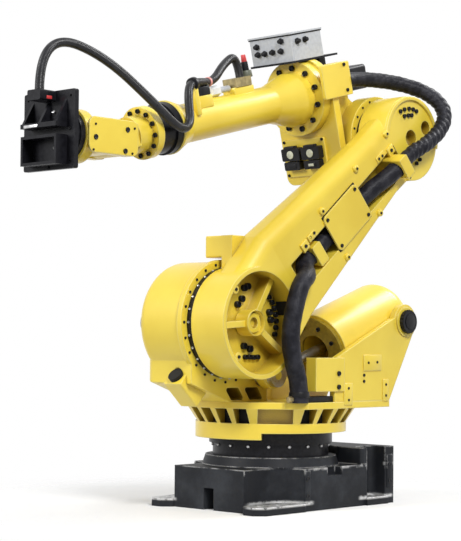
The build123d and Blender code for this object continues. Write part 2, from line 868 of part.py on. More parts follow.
# Forearm casing: gear housing behind a tall front plate
with BuildPart() as casing:
    with BuildSketch(fore_side(casing_body_left_y)) as body_outline:
        with BuildLine():
            Polyline(
                (casing_rear, casing_shoulder),
                (casing_rear, casing_top),
                (casing_front - front_plate_thickness, casing_top),
                (casing_front - front_plate_thickness, casing_foot),
                (0, casing_foot),
                (-casing_boss_radius * casing_heel_share, 0),
                close=True,
            )
        make_face()
        fillet(body_outline.vertices().sort_by(Axis.X)[:2], casing_body_round)
    extrude(amount=casing_body_left_y - casing_body_right_y)
    with BuildSketch(fore_across(casing_front - front_plate_thickness)) as front_outline:
        with Locations(((casing_left_y + casing_right_y) / 2, (casing_foot - forearm_rise) / 2)):
            Rectangle(casing_left_y - casing_right_y, forearm_rise - casing_foot)
        fillet(front_outline.vertices().group_by(Axis.Y)[0], front_plate_round)
        Circle(front_plate_radius)
    extrude(amount=front_plate_thickness)
    with BuildSketch(fore_side(ring3_inner_y)):
        Circle(casing_boss_radius)
    extrude(amount=ring3_inner_y - casing_body_left_y)
    with BuildSketch(fore_across(casing_front)):
        Circle(neck_radius)
    extrude(amount=neck_length)
    with BuildSketch(fore_level(box_low - shelf_plate_thickness)):
        with Locations((casing_front, 0)):
            Rectangle(2 * (front_plate_thickness + neck_length), 2 * front_plate_radius)
    extrude(amount=front_plate_radius, mode=Mode.SUBTRACT)
save(casing, "forearm_casing")

# Motors on the forearm: one for the elbow on the right, two for the wrist behind the casing
with BuildPart() as forearm_motors:
    with BuildSketch(fore_side(casing_body_right_y)):
        RectangleRounded(motor_side, motor_side, motor_round)
    extrude(amount=motor_length)
    rear_plane = Plane(
        origin=fore_point(casing_rear, 0, wrist_motor_lift), x_dir=(0, 1, 0), z_dir=fore_along
    )
    with BuildSketch(rear_plane):
        with GridLocations(wrist_motor_pitch, 0, 2, 1):
            RectangleRounded(wrist_motor_side, wrist_motor_side, motor_round)
    extrude(amount=-wrist_motor_length)
save(forearm_motors, "forearm_motors")

# Forearm tube with its root, cone and end flare
with BuildPart() as tube:
    tube_start = casing_front + neck_length
    with BuildSketch(fore_side(0)):
        with BuildLine():
            Polyline(
                (tube_start, forearm_rise),
                (tube_start, forearm_rise + cone_radius),
                (tube_start + cone_root, forearm_rise + cone_radius),
                (tube_start + cone_length, forearm_rise + tube_radius),
                (tube_end, forearm_rise + tube_radius),
                (tube_end + tube_flare_length, forearm_rise + tube_flare_radius),
                (ring4_start, forearm_rise + tube_flare_radius),
                (ring4_start, forearm_rise),
                close=True,
            )
        make_face()
    revolve(axis=Axis(fore_point(0, 0, forearm_rise), fore_along))
save(tube, "forearm_tube")

# Fourth axis reducer ring, which turns with the wrist
with BuildPart() as j4_ring:
    with BuildSketch(fore_across(ring4_start + running_gap)):
        Circle(ring4_waist)
    extrude(amount=ring4_length - running_gap)
    with BuildSketch(fore_across(ring4_start + running_gap)):
        Circle(ring4_radius)
    extrude(amount=ring4_flange)
save(j4_ring, "j4_reducer_ring")

# Wrist housing: bolted flange, neck and the barrel of the fifth axis
with BuildPart() as wrist:
    with BuildSketch(fore_across(wrist_start)):
        Circle(wrist_flange_radius)
    extrude(amount=wrist_flange_thickness)
    with BuildSketch(fore_across(wrist_start)):
        Circle(wrist_neck_radius)
    extrude(amount=forearm_reach - cheek_sweep - wrist_start)
    with BuildSketch(side_plane(j5, fore_along, barrel_half_width)):
        Circle(barrel_radius)
        with Locations((-(cheek_sweep + overrun) / 2, 0)):
            Rectangle(cheek_sweep + overrun, 2 * barrel_neck_half_height)
    extrude(amount=2 * barrel_half_width)
save(wrist, "wrist_housing")

# Hand: two cheeks round the barrel, bridged ahead of it, and the sixth axis housing
with BuildPart() as hand:
    cheek_outer = barrel_half_width + running_gap + cheek_thickness
    cheek_inner = barrel_half_width + running_gap
    with BuildSketch(hand_side(cheek_outer)):
        with Locations(((hand_housing_start - cheek_tail) / 2, 0)):
            RectangleRounded(hand_housing_start + cheek_tail, 2 * cheek_half_height, cheek_round)
    extrude(amount=2 * cheek_outer)
    with BuildSketch(hand_side(cheek_inner)):
        Circle(hand_bridge)
        with Locations((-hand_bridge, 0)):
            Rectangle(2 * hand_bridge, 2 * hand_bridge)
    extrude(amount=2 * cheek_inner, mode=Mode.SUBTRACT)
    with BuildSketch(hand_across(hand_housing_start)):
        Circle(hand_housing_radius)
    extrude(amount=hand_housing_length)
    with BuildSketch(hand_across(hand_housing_start)):
        Circle(cheek_half_height)
    extrude(amount=-cheek_round)
save(hand, "hand_casting")

with BuildPart() as hand_covers:
    cover_tip = hand_housing_start + hand_housing_length
    for cover_y, direction in ((cheek_outer, -1), (-cheek_outer, 1)):
        with BuildSketch(hand_side(cover_y)):
            with Locations(((cover_tip - cheek_tail) / 2, 0)):
                RectangleRounded(cover_tip + cheek_tail, 2 * cheek_half_height, cheek_round)
        extrude(amount=direction * hand_cover_thickness)
save(hand_covers, "hand_covers")

# Sixth axis: reducer ring and tool flange
with BuildPart() as j6_ring:
    ring6_start = hand_housing_start + hand_housing_length
    with BuildSketch(hand_across(ring6_start + running_gap)):
        Circle(ring6_radius)
    extrude(amount=ring6_length)
save(j6_ring, "j6_reducer_ring")

with BuildPart() as adapter:
    flange_start = ring6_start + running_gap + ring6_length
    with BuildSketch(hand_across(flange_start)):
        Circle(tool_flange_radius)
    extrude(amount=hand_reach - flange_start)
    with BuildSketch(hand_across(hand_reach)):
        Circle(adapter_radius)
    extrude(amount=adapter_length)
save(adapter, "tool_adapter")

# Tool plate with a bolt hole at each corner
plate_start = hand_reach + adapter_length
with BuildPart() as tool_plate:
    with BuildSketch(hand_across(plate_start)):
        with Locations((0, plate_lift)):
            RectangleRounded(plate_width, plate_height, plate_corner)
            with GridLocations(
                plate_width - 2 * plate_hole_inset, plate_height - 2 * plate_hole_inset, 2, 2
            ):
                Circle(plate_hole_radius, mode=Mode.SUBTRACT)
    extrude(amount=plate_thickness)
save(tool_plate, "tool_plate")

# Brackets in front of the tool plate
tool_front = plate_start + plate_thickness
plate_top = plate_lift + plate_height / 2
with BuildPart() as brackets:
    with BuildSketch(hand_across(tool_front)):
        with Locations((0, -pocket_drop)):
            Rectangle(pocket_width, pocket_height)
            Rectangle(pocket_width - 2 * frame_wall, pocket_height - 2 * frame_wall, mode=Mode.SUBTRACT)
    extrude(amount=frame_depth)
    with BuildSketch(hand_across(tool_front)):
        with Locations((0, shelf_rise + shelf_height / 2)):
            Rectangle(pocket_width, shelf_height)
    extrude(amount=shelf_depth)
    with BuildSketch(hand_across(tool_front)):
        with Locations((0, plate_top - hose_block_height / 2)):
            RectangleRounded(hose_block_width, hose_block_height, edge_round)
    extrude(amount=hose_block_depth)
    gusset_low = shelf_rise + shelf_height
    for gusset_y in (-pocket_width / 2 + gusset_thickness, gusset_thickness / 2, pocket_width / 2):
        with BuildSketch(side_plane(j5 + Vector(tool_front, 0, 0), Vector(1, 0, 0), gusset_y)):
            with BuildLine():
                Polyline(
                    (0, gusset_low),
                    (gusset_base, gusset_low),
                    (0, gusset_low + gusset_height),
                    close=True,
                )
            make_face()
        extrude(amount=gusset_thickness)
save(brackets, "tool_brackets")

# Cover on the left of the casing, where the loom ends
with BuildPart() as cable_cover:
    with BuildSketch(fore_side(casing_left_y + cable_cover_depth)):
        with Locations((cable_cover_rear + cable_cover_length / 2, cable_cover_low + cable_cover_height / 2)):
            RectangleRounded(cable_cover_length, cable_cover_height, edge_round)
    extrude(amount=casing_left_y + cable_cover_depth - casing_body_left_y)
    with BuildSketch(fore_side(casing_left_y + running_gap)):
        with Locations((casing_front - front_plate_thickness + cable_cover_length / 2, forearm_rise)):
            Rectangle(cable_cover_length, 2 * forearm_rise)
    extrude(amount=casing_left_y - casing_body_left_y + overrun, mode=Mode.SUBTRACT)
save(cable_cover, "cable_cover")

# Junction box on a shelf over the casing
box_middle_y = box_right_y + box_width / 2
with BuildPart() as box_shelf:
    with BuildSketch(fore_level(box_low - shelf_plate_thickness)):
        with Locations(((shelf_plate_rear + shelf_plate_front) / 2, box_middle_y)):
            Rectangle(shelf_plate_front - shelf_plate_rear, box_width)
    extrude(amount=shelf_plate_thickness)
    with BuildSketch(fore_level(casing_top)):
        with Locations(((casing_rear + casing_front - front_plate_thickness) / 2, box_middle_y)):
            with GridLocations(shelf_leg_pitch, shelf_leg_spread, 2, 2):
                Rectangle(shelf_leg_size, shelf_leg_size)
    extrude(amount=box_low - shelf_plate_thickness - casing_top)
save(box_shelf, "junction_box_shelf")

with BuildPart() as junction_box:
    with BuildSketch(fore_level(box_low)):
        with Locations((box_rear + box_length / 2, box_middle_y)):
            RectangleRounded(box_length, box_width, edge_round)
    extrude(amount=box_height)
save(junction_box, "junction_box")

with BuildPart() as box_lid:
    with BuildSketch(fore_level(box_low + box_height)):
        with Locations((box_rear + box_length / 2, box_middle_y)):
            RectangleRounded(
                box_length + 2 * box_lid_overhang, box_width + 2 * box_lid_overhang, edge_round
            )
    extrude(amount=box_lid_thickness)
save(box_lid, "junction_box_lid")

# Connector panel under the forearm flange: two large connectors over two small ones
with BuildPart() as panel:
    front_plane = Plane(
        origin=fore_point(casing_front, panel_right_y + panel_width / 2, panel_low + panel_height / 2),
        x_dir=(0, 1, 0),
        z_dir=fore_along,
    )
    with BuildSketch(front_plane):
        RectangleRounded(panel_width, panel_height, edge_round)
    extrude(amount=panel_thickness)
save(panel, "connector_panel")

with BuildPart() as panel_connectors:
    row_sum = large_connector_height + small_connector_height + connector_row_gap
    with BuildSketch(front_plane.offset(panel_thickness)):
        with Locations((0, row_sum / 2 - large_connector_height / 2)):
            with GridLocations(large_connector_length + connector_gap, 0, 2, 1):
                RectangleRounded(large_connector_length, large_connector_height, edge_round)
        with Locations((0, small_connector_height / 2 - row_sum / 2)):
            with GridLocations(large_connector_length + connector_gap, 0, 2, 1):
                RectangleRounded(small_connector_length, small_connector_height, edge_round)
    extrude(amount=connector_depth)
save(panel_connectors, "panel_connectors")

# Valve manifold on its saddle over the forearm tube
with BuildPart() as saddle:
    with BuildSketch(fore_level(forearm_rise)):
        with Locations((saddle_start + saddle_length / 2, 0)):
            Rectangle(saddle_length, saddle_width)
    extrude(amount=saddle_rise)
    with BuildSketch(fore_across(saddle_start - overrun)):
        Circle(tube_radius + running_gap)
    extrude(amount=saddle_length + 2 * overrun, mode=Mode.SUBTRACT)
save(saddle, "manifold_saddle")

manifold_top = forearm_rise + saddle_rise + manifold_height
with BuildPart() as manifold:
    with BuildSketch(fore_level(forearm_rise + saddle_rise)):
        with Locations((saddle_start + saddle_length / 2, 0)):
            RectangleRounded(manifold_length, manifold_width, edge_round)
    extrude(amount=manifold_height)
save(manifold, "valve_manifold")


def hose(name, points, radius):
    """A hose along straight runs joined by tangent arcs as large as the runs allow. Returns its centre line."""
    turns = []
    for before, corner, after in zip(points, points[1:], points[2:]):
        shorter = min((corner - before).length, (after - corner).length)
        half_turn = radians((corner - before).get_angle(after - corner) / 2)
        turns.append(bend_share * shorter / (sin(half_turn) / cos(half_turn)))
    with BuildPart() as tube_part:
        with BuildLine() as path:
            FilletPolyline(*points, radius=turns)
        with BuildSketch(Plane(origin=path.wires()[0] @ 0, z_dir=path.wires()[0] % 0)):
            Circle(radius)
        sweep()
    length = path.wires()[0].length
    print(name, "bends", [round(turn) for turn in turns], "length", round(length))
    print(name, "volume over section times length", round(tube_part.part.volume / (pi * radius**2 * length), 4))
    save(tube_part, name)
    return path.wires()[0]


def arm_loom_point(u, drop):
    return arm_face(u, clamp_v, drop).origin


def onward(points, run):
    """A point straight ahead of the end of a run of points, so that the next hose starts in line."""
    return points[-1] + (points[-1] - points[-2]).normalized() * run


# Loom from the turntable to the upper arm, along it, and round the elbow to the forearm
shoulder_route = [
    Vector(172, 292, deck_top),
    Vector(172, 292, 470),
    Vector(226, 307, 556),
    Vector(256, 318, 650),
    Vector(238, 326, 756),
    Vector(196, 330, 850),
    arm_loom_point(272, -42),
    arm_loom_point(328, loom_drop),
    arm_loom_point(lower_clamp_u - clamp_length / 2, loom_drop),
]
arm_route = [
    shoulder_route[-1],
    arm_loom_point(upper_arm_length * loom_climb_share, loom_drop),
    arm_loom_point(upper_clamp_u - clamp_length, -clamp_rise),
    arm_loom_point(upper_clamp_u + clamp_length / 2, -clamp_rise),
]
elbow_route = [
    arm_route[-1],
    onward(arm_route, arm_loom_lead),
    j3 + Vector(-20, 394, -28),
    j3 + Vector(-126, 396, 44),
    j3 + Vector(-172, 380, 124),
    j3 + Vector(-138, 326, 194),
    j3 + Vector(-50, 226, 238),
    fore_point(40, 147, 262),
    fore_point(cable_cover_rear, 147, 262),
]
hose("shoulder_loom", shoulder_route, loom_radius)
hose("arm_loom", arm_route, loom_radius)
hose("elbow_loom", elbow_route, elbow_loom_radius)

# Hose from the manifold along the forearm, and the loop over the wrist to the tool:
# the loop is cut where it passes from one joint's reach to the next
hose_seat = j5 + Vector(tool_front + hose_seat_depth, 0, plate_top)
dress_route = [
    fore_point(556, 0, manifold_top),
    fore_point(556, 0, 452),
    fore_point(690, 20, 398),
    fore_point(775, 34, 352),
    fore_point(850, 54, 392),
    fore_point(944, 90, 352),
    fore_point(968, 108, 268),
]
rear_route = [
    dress_route[-1],
    onward(dress_route, wrist_lead),
    fore_point(1052, 130, 214),
    fore_point(1140, 110, 329),
    fore_point(1207, 84, 417),
]
middle_route = [rear_route[-1], onward(rear_route, middle_lead), fore_point(1358, 22, 564)]
front_route = [
    middle_route[-1],
    onward(middle_route, front_lead),
    hose_seat + Vector(0, 0, hose_drop),
    hose_seat,
]
dress_line = hose("dress_hose", dress_route, wrist_hose_radius)
hose("wrist_hose_rear", rear_route, wrist_hose_radius)
hose("wrist_hose_middle", middle_route, wrist_hose_radius)
hose("wrist_hose_front", front_route, wrist_hose_radius)

# Guide on top of the forearm tube: a post with an eye that holds the hose
with BuildPart() as guide:
    hold = dress_line @ guide_share
    hold_along = dress_line % guide_share
    hold_x = (hold - j3).dot(fore_along)
    hold_rise = (hold - j3).dot(fore_up)
    eye_plane = Plane(origin=hold - hold_along * guide_length / 2, z_dir=hold_along)
    with BuildSketch(fore_level(forearm_rise)):
        with Locations((hold_x, hold.Y)):
            Rectangle(guide_length, guide_post)
    extrude(amount=hold_rise - forearm_rise)
    with BuildSketch(eye_plane):
        Circle(wrist_hose_radius + guide_wall)
    extrude(amount=guide_length)
    with BuildSketch(eye_plane.offset(-guide_length)):
        Circle(wrist_hose_radius + guide_clearance)
    extrude(amount=3 * guide_length, mode=Mode.SUBTRACT)
    with BuildSketch(fore_across(hold_x - guide_post)):
        Circle(tube_radius + running_gap)
    extrude(amount=2 * guide_post, mode=Mode.SUBTRACT)
save(guide, "hose_guide")
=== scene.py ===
# %% [markdown]
# # A six-axis robot arm, dressed
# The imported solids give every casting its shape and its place. This lesson adds what is too small or too soft for
# them: paint, screws, cable glands, pads, ties and flexible hoses. Lengths in metres unless a name says otherwise.

import json
from math import cos, pi, radians, sin

import bmesh
import bpy
from mathutils import Matrix, Vector

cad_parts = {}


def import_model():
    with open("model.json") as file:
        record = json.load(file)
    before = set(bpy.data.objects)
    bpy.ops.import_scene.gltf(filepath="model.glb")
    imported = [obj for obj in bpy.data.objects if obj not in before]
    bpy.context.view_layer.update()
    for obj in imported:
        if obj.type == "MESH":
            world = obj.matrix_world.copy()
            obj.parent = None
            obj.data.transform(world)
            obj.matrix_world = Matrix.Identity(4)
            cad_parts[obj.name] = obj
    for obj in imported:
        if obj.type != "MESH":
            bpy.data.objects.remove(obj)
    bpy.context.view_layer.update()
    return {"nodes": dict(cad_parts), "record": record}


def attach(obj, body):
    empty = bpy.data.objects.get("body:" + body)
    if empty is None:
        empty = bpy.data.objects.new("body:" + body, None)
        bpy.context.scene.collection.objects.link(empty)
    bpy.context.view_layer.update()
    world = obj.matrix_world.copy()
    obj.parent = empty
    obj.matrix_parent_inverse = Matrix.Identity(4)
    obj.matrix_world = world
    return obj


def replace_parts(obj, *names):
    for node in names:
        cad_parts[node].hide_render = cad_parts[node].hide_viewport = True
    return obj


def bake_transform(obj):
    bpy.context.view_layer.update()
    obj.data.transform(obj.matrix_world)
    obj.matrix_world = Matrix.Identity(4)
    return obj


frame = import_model()
nodes = frame["nodes"]
scene = bpy.context.scene

# %% [markdown]
# ## Where things are
# A screw is easiest to place by the link that it sits on: so far along the forearm, so far to its left, so far up.
# These helpers turn such places, in millimetres, into points of the whole arm. They use the solids' own angles.

# %% Axes and links
MM = 0.001
ARM_LEAN = 47
FOREARM_DIP = 14.5
LEFT = Vector((0, 1, 0))
UP = Vector((0, 0, 1))
AHEAD = Vector((1, 0, 0))
J2 = Vector((0.350, 0, 0.690))
arm_angle = radians(90 + ARM_LEAN)
ARM_ALONG = Vector((cos(arm_angle), 0, sin(arm_angle)))
ARM_BACK = Vector((-sin(arm_angle), 0, cos(arm_angle)))
J3 = J2 + ARM_ALONG * 1.075
FORE_ALONG = Vector((cos(radians(FOREARM_DIP)), 0, -sin(radians(FOREARM_DIP))))
FORE_UP = Vector((sin(radians(FOREARM_DIP)), 0, cos(radians(FOREARM_DIP))))
J5 = J3 + FORE_ALONG * 1.280 + FORE_UP * 0.225
CRANK_START = 225.75
FACE_Y = 268
FACE_SLOPE = 70 / 634.25
FACE_ALONG = (ARM_ALONG + LEFT * FACE_SLOPE).normalized()
FACE_NORMAL = (LEFT - ARM_ALONG * FACE_SLOPE).normalized()
TRUNNION = Vector((-0.430, 0.148, 0.704))
ROD_ALONG = Vector((0.9462, 0, -0.3236))


def world(x, y, z):
    return Vector((x, y, z)) * MM


def fore(x, y, w):
    """A point by the forearm: ahead of the elbow, to the left and up."""
    return J3 + (FORE_ALONG * x + LEFT * y + FORE_UP * w) * MM


def arm(u, v, y):
    """A point by the upper arm: along it from the shoulder, towards its back and to the left."""
    return J2 + (ARM_ALONG * u + ARM_BACK * v + LEFT * y) * MM


def arm_face(u, v, lift=0):
    """A point on the upper arm's cranked left face, or off it by lift."""
    return arm(u, v, FACE_Y + FACE_SLOPE * (u - CRANK_START)) + FACE_NORMAL * lift * MM


def hand(x, y, z):
    """A point by the level hand: ahead of the wrist's axis, to the left and up."""
    return J5 + Vector((x, y, z)) * MM


print("elbow at", [round(c, 3) for c in J3], "wrist at", [round(c, 3) for c in J5])

# %% [markdown]
# ## The camera
# It stands in front of the arm and to its left, low down, and looks slightly up. A long lens keeps the far castings
# nearly as large as the near ones, as a studio picture of a machine does.

# %% Camera
EYE = Vector((4.784, 4.271, 0.632))
EYE_YAW = radians(223.18)
EYE_PITCH = radians(2.35)
EYE_ROLL = radians(0.47)
FOCAL_PIXELS = 1662.8
PICTURE_HEIGHT = 541

forward = Vector((cos(EYE_YAW) * cos(EYE_PITCH), sin(EYE_YAW) * cos(EYE_PITCH), sin(EYE_PITCH)))
level_right = forward.cross(UP).normalized()
level_up = level_right.cross(forward)
camera_right = level_right * cos(EYE_ROLL) + level_up * sin(EYE_ROLL)
camera_up = level_up * cos(EYE_ROLL) - level_right * sin(EYE_ROLL)
camera = bpy.data.objects.new("camera", bpy.data.cameras.new("camera"))
camera.matrix_world = Matrix(
    [[camera_right[i], camera_up[i], -forward[i], EYE[i]] for i in range(3)] + [[0, 0, 0, 1]]
)
camera.data.sensor_width = 36
camera.data.lens = FOCAL_PIXELS / PICTURE_HEIGHT * camera.data.sensor_width
scene.collection.objects.link(camera)
scene.camera = camera
print("lens", round(camera.data.lens, 1), "mm")

# %% [markdown]
# ## Shader arithmetic
# A material is a tree of nodes. Wiring one by hand is long, so a `Value` stands for one socket and takes part in
# sums and products, and a `Finish` adds any other node by its type, its settings and its sockets.

# %% Values and finishes


class Value:
    """A number or colour somewhere in a material, with the arithmetic that the finishes below use."""

    def __init__(self, finish, socket):
        self.finish = finish
        self.socket = socket

    def math(self, operation, *sockets):
        return self.finish.node("ShaderNodeMath", {"operation": operation}, dict(enumerate(sockets)))

    def __add__(self, other):
        return self.math("ADD", self, other)

    def __sub__(self, other):
        return self.math("SUBTRACT", self, other)

    def __rsub__(self, other):
        return self.math("SUBTRACT", other, self)

    def __mul__(self, other):
        return self.math("MULTIPLY", self, other)

    __radd__ = __add__
    __rmul__ = __mul__

    def sine(self):
        return self.math("SINE", self)

    def size(self):
        return self.math("ABSOLUTE", self)

    def larger(self, other):
        return self.math("MAXIMUM", self, other)

    def step(self, low, high):
        """Nought below low, one above high, and smooth between."""
        sockets = {"Value": self, "From Min": low, "From Max": high}
        return self.finish.node("ShaderNodeMapRange", {"interpolation_type": "SMOOTHSTEP"}, sockets)

    def mix(self, low, high):
        """A colour that runs from low to high as this value runs from nought to one."""
        return self.finish.node("ShaderNodeMix", {"data_type": "RGBA"}, {0: self, 6: low, 7: high}, 2)


class Finish:
    """A material under construction."""

    def __init__(self, name):
        self.material = bpy.data.materials.new(name)
        self.material.use_nodes = True
        self.tree = self.material.node_tree
        self.shader = self.tree.nodes["Principled BSDF"]
        self.place = self.node("ShaderNodeTexCoord", {}, {}, "Object")

    def feed(self, socket, value):
        if isinstance(value, Value):
            self.tree.links.new(value.socket, socket)
        elif isinstance(value, tuple) and socket.type == "RGBA":
            socket.default_value = (*value, 1)
        else:
            socket.default_value = value

    def node(self, kind, settings, sockets, output=0):
        made = self.tree.nodes.new(kind)
        for setting, value in settings.items():
            setattr(made, setting, value)
        for name, value in sockets.items():
            self.feed(made.inputs[name], value)
        return Value(self, made.outputs[output])

    def noise(self, scale, detail=3, roughness=0.55):
        sockets = {"Vector": self.place, "Scale": scale, "Detail": detail, "Roughness": roughness}
        return self.node("ShaderNodeTexNoise", {}, sockets)

    def axis(self, name):
        return self.node("ShaderNodeSeparateXYZ", {}, {0: self.place}, name)

    def attribute(self, name):
        return self.node("ShaderNodeAttribute", {"attribute_name": name}, {}, "Fac")

    def near(self, centre, radius, fade):
        """One within a radius of a place, and nought beyond the fade."""
        gap = self.node("ShaderNodeVectorMath", {"operation": "DISTANCE"}, {0: self.place, 1: centre}, "Value")
        return 1 - gap.step(radius, radius + fade)

    def openness(self, reach):
        """One in the open, and less in the piece's own corners and slots."""
        return self.node("ShaderNodeAmbientOcclusion", {"samples": 8, "only_local": True}, {"Distance": reach}, "AO")

    def edges(self, radius):
        """One along the corners that a bevel of this radius would round, and nought elsewhere."""
        soft = self.node("ShaderNodeBevel", {"samples": 8}, {"Radius": radius})
        flat = self.node("ShaderNodeNewGeometry", {}, {}, "Normal")
        lean = self.node("ShaderNodeVectorMath", {"operation": "DOT_PRODUCT"}, {0: soft, 1: flat}, "Value")
        return (1 - lean).step(0.004, 0.06)

    def set(self, **sockets):
        for name, value in sockets.items():
            self.feed(self.shader.inputs[name.replace("_", " ")], value)

    def bump(self, height, strength, distance, edge=0.0):
        """A bumped surface. edge is the radius by which light rounds its corners."""
        sockets = {"Height": height, "Strength": strength, "Distance": distance}
        if edge:
            sockets["Normal"] = self.node("ShaderNodeBevel", {"samples": 4}, {"Radius": edge})
        self.set(Normal=self.node("ShaderNodeBump", {}, sockets))


# %% [markdown]
# ## Paint on the castings
# Robot castings are sprayed in a thick enamel: semi-gloss, faintly orange-peeled, a little darker where it is thin,
# with a few scuffs. Noise at three scales gives the clouding, the scuffs and the peel. Painted shade darkens the
# colour in the piece's corners and slots, and a painted highlight lightens its edges in the open.

# %% Yellow enamel
ENAMEL = (0.84, 0.64, 0.060)
ENAMEL_THIN = (0.76, 0.55, 0.038)
SCUFF = (0.17, 0.13, 0.05)
# Painted shade: the colour the enamel takes in corners and slots.
PAINTED_CORNER_SHADE = (0.33, 0.21, 0.014)
# Painted highlight: the pale colour laid along open edges.
PAINTED_EDGE_HIGHLIGHT = (0.92, 0.80, 0.26)
CAST_EDGE = 0.007
PAINTED_SHADE_REACH = 0.11


def arm_paint():
    finish = Finish("arm_paint")
    cloud = finish.noise(3.0, 4)
    scuff = finish.noise(34.0, 5, 0.7).step(0.70, 0.80)
    body = cloud.step(0.35, 0.75).mix(ENAMEL, ENAMEL_THIN)
    open_air = finish.openness(PAINTED_SHADE_REACH)
    # Painted shade: the enamel darkens where the piece's own corners and slots close it in.
    with_painted_shade = open_air.step(0.20, 0.80).mix(PAINTED_CORNER_SHADE, body)
    # Painted highlight: edges in the open are lightened, as if they caught the light.
    with_painted_highlight = (finish.edges(CAST_EDGE) * open_air.step(0.70, 0.95) * 0.5).mix(with_painted_shade, PAINTED_EDGE_HIGHLIGHT)
    finish.set(
        Base_Color=(scuff * 0.45).mix(with_painted_highlight, SCUFF),
        Roughness=0.30 + cloud * 0.16,
        Coat_Weight=0.35,
        Coat_Roughness=0.18,
    )
    finish.bump(finish.noise(160.0, 2), 0.10, 0.002, CAST_EDGE)
    return finish.material


print("enamel", ENAMEL)

# %% [markdown]
# ## The scraped base
# The base is charcoal enamel that forklifts and chains have scraped. Bright metal shows on the tops of the feet, and
# thin scraped lines run along the upper edges. A painted highlight, in the same bright metal, also runs along the
# deck's top edges. Each such place is a soft ball or band, broken up by noise.

# %% Charcoal enamel with bright metal
CHARCOAL = (0.011, 0.012, 0.015)
CHARCOAL_DUST = (0.034, 0.037, 0.043)
# Bright metal where the paint is scraped, and also the colour of the painted highlight on the deck's top edges.
SCRAPED_METAL_AND_HIGHLIGHT = (0.60, 0.60, 0.60)
SCRAPED_SPOTS = (
    ((0.190, 0.235, 0.030), 0.090, 0.060),
    ((0.300, 0.270, 0.030), 0.060, 0.060),
    ((-0.295, 0.255, 0.030), 0.080, 0.050),
    ((0.330, -0.255, 0.030), 0.060, 0.050),
    ((-0.300, -0.250, 0.030), 0.060, 0.050),
)
FOOT_TOP = 0.030
DECK = 0.156
BASE_HALF_WIDTH = 0.283


def base_paint():
    finish = Finish("base_paint")
    cloud = finish.noise(5.0, 5, 0.65)
    height = finish.axis("Z")
    spots = 0.0
    for centre, radius, fade in SCRAPED_SPOTS:
        spots = finish.near(centre, radius, fade) + spots
    ragged = finish.noise(26.0, 6, 0.8)
    reach = height + ragged * 0.03
    on_foot = height.step(FOOT_TOP - 0.010, FOOT_TOP - 0.002) * (1 - reach.step(FOOT_TOP + 0.016, FOOT_TOP + 0.026))
    foot_wear = spots.step(0.2, 0.8) * on_foot * ragged.step(0.36, 0.50)
    side = finish.axis("Y").size().step(BASE_HALF_WIDTH - 0.012, BASE_HALF_WIDTH - 0.004)
    top = height.step(DECK - 0.012, DECK - 0.003) * (1 - height.step(DECK + 0.002, DECK + 0.006))
    edge_wear = side * top * finish.noise(22.0, 5, 0.7).step(0.42, 0.58)
    # Painted highlight, partly scraped metal: bright lines along the deck's top edges.
    rim = finish.edges(0.009) * height.step(DECK - 0.026, DECK - 0.012) * finish.noise(15.0, 5, 0.7).step(0.40, 0.56)
    wear_and_highlight = foot_wear.larger(edge_wear * 0.7).larger(rim * 0.5)
    enamel = cloud.step(0.42, 0.8).mix(CHARCOAL, CHARCOAL_DUST)
    finish.set(
        Base_Color=wear_and_highlight.mix(enamel, SCRAPED_METAL_AND_HIGHLIGHT),
        Metallic=wear_and_highlight * 0.7,
        Roughness=0.44 - wear_and_highlight * 0.12 + cloud * 0.14,
        Specular_IOR_Level=0.16,
    )
    finish.bump(finish.noise(120.0, 3) + wear_and_highlight * 0.6, 0.2, 0.002, CAST_EDGE)
    return finish.material


print(len(SCRAPED_SPOTS), "scraped spots")

# %% [markdown]
# ## Plainer finishes, and the two kinds of hose
# Small parts need less: a colour that varies, its roughness and a grain. The loom's sleeve is woven, so its two sets
# of strands follow the hose's own length and turn, kept on the mesh. The rubber hose has fine moulded rings.

# %% Small parts and hoses
FULL_GLOSS = 0.5
LOW_GLOSS = 0.16


def plain(name, colour, roughness, metallic=0.0, vary=0.35, gloss=FULL_GLOSS):
    finish = Finish(name)
    cloud = finish.noise(70.0, 3)
    darker = tuple(c * (1 - vary) for c in colour)
    finish.set(
        Base_Color=cloud.step(0.3, 0.7).mix(darker, colour),
        Roughness=roughness - 0.08 + cloud * 0.16,
        Metallic=metallic,
        Specular_IOR_Level=gloss,
    )
    finish.bump(cloud, 0.06, 0.001)
    return finish.material


def sleeve():
    finish = Finish("loom_sleeve")
    along = finish.attribute("along")
    around = finish.attribute("around")
    weave = (along * 900.0 + around * 12.0).sine() * (along * 900.0 - around * 12.0).sine()
    fold = finish.noise(26.0, 4, 0.6)
    finish.set(
        Base_Color=fold.step(0.35, 0.75).mix((0.008, 0.008, 0.012), (0.030, 0.030, 0.038)),
        Roughness=0.34 + fold * 0.2,
        Specular_IOR_Level=LOW_GLOSS,
    )
    finish.bump(weave * 0.04 + fold * 1.4, 0.6, 0.006)
    return finish.material


def rubber():
    finish = Finish("hose_rubber")
    ring = (finish.attribute("along") * 1250.0).sine()
    dust = finish.noise(40.0, 3)
    finish.set(
        Base_Color=dust.step(0.45, 0.8).mix((0.010, 0.010, 0.012), (0.024, 0.024, 0.027)),
        Roughness=0.22 + dust * 0.14,
        Specular_IOR_Level=0.3,
    )
    finish.bump(ring, 0.3, 0.0014)
    return finish.material


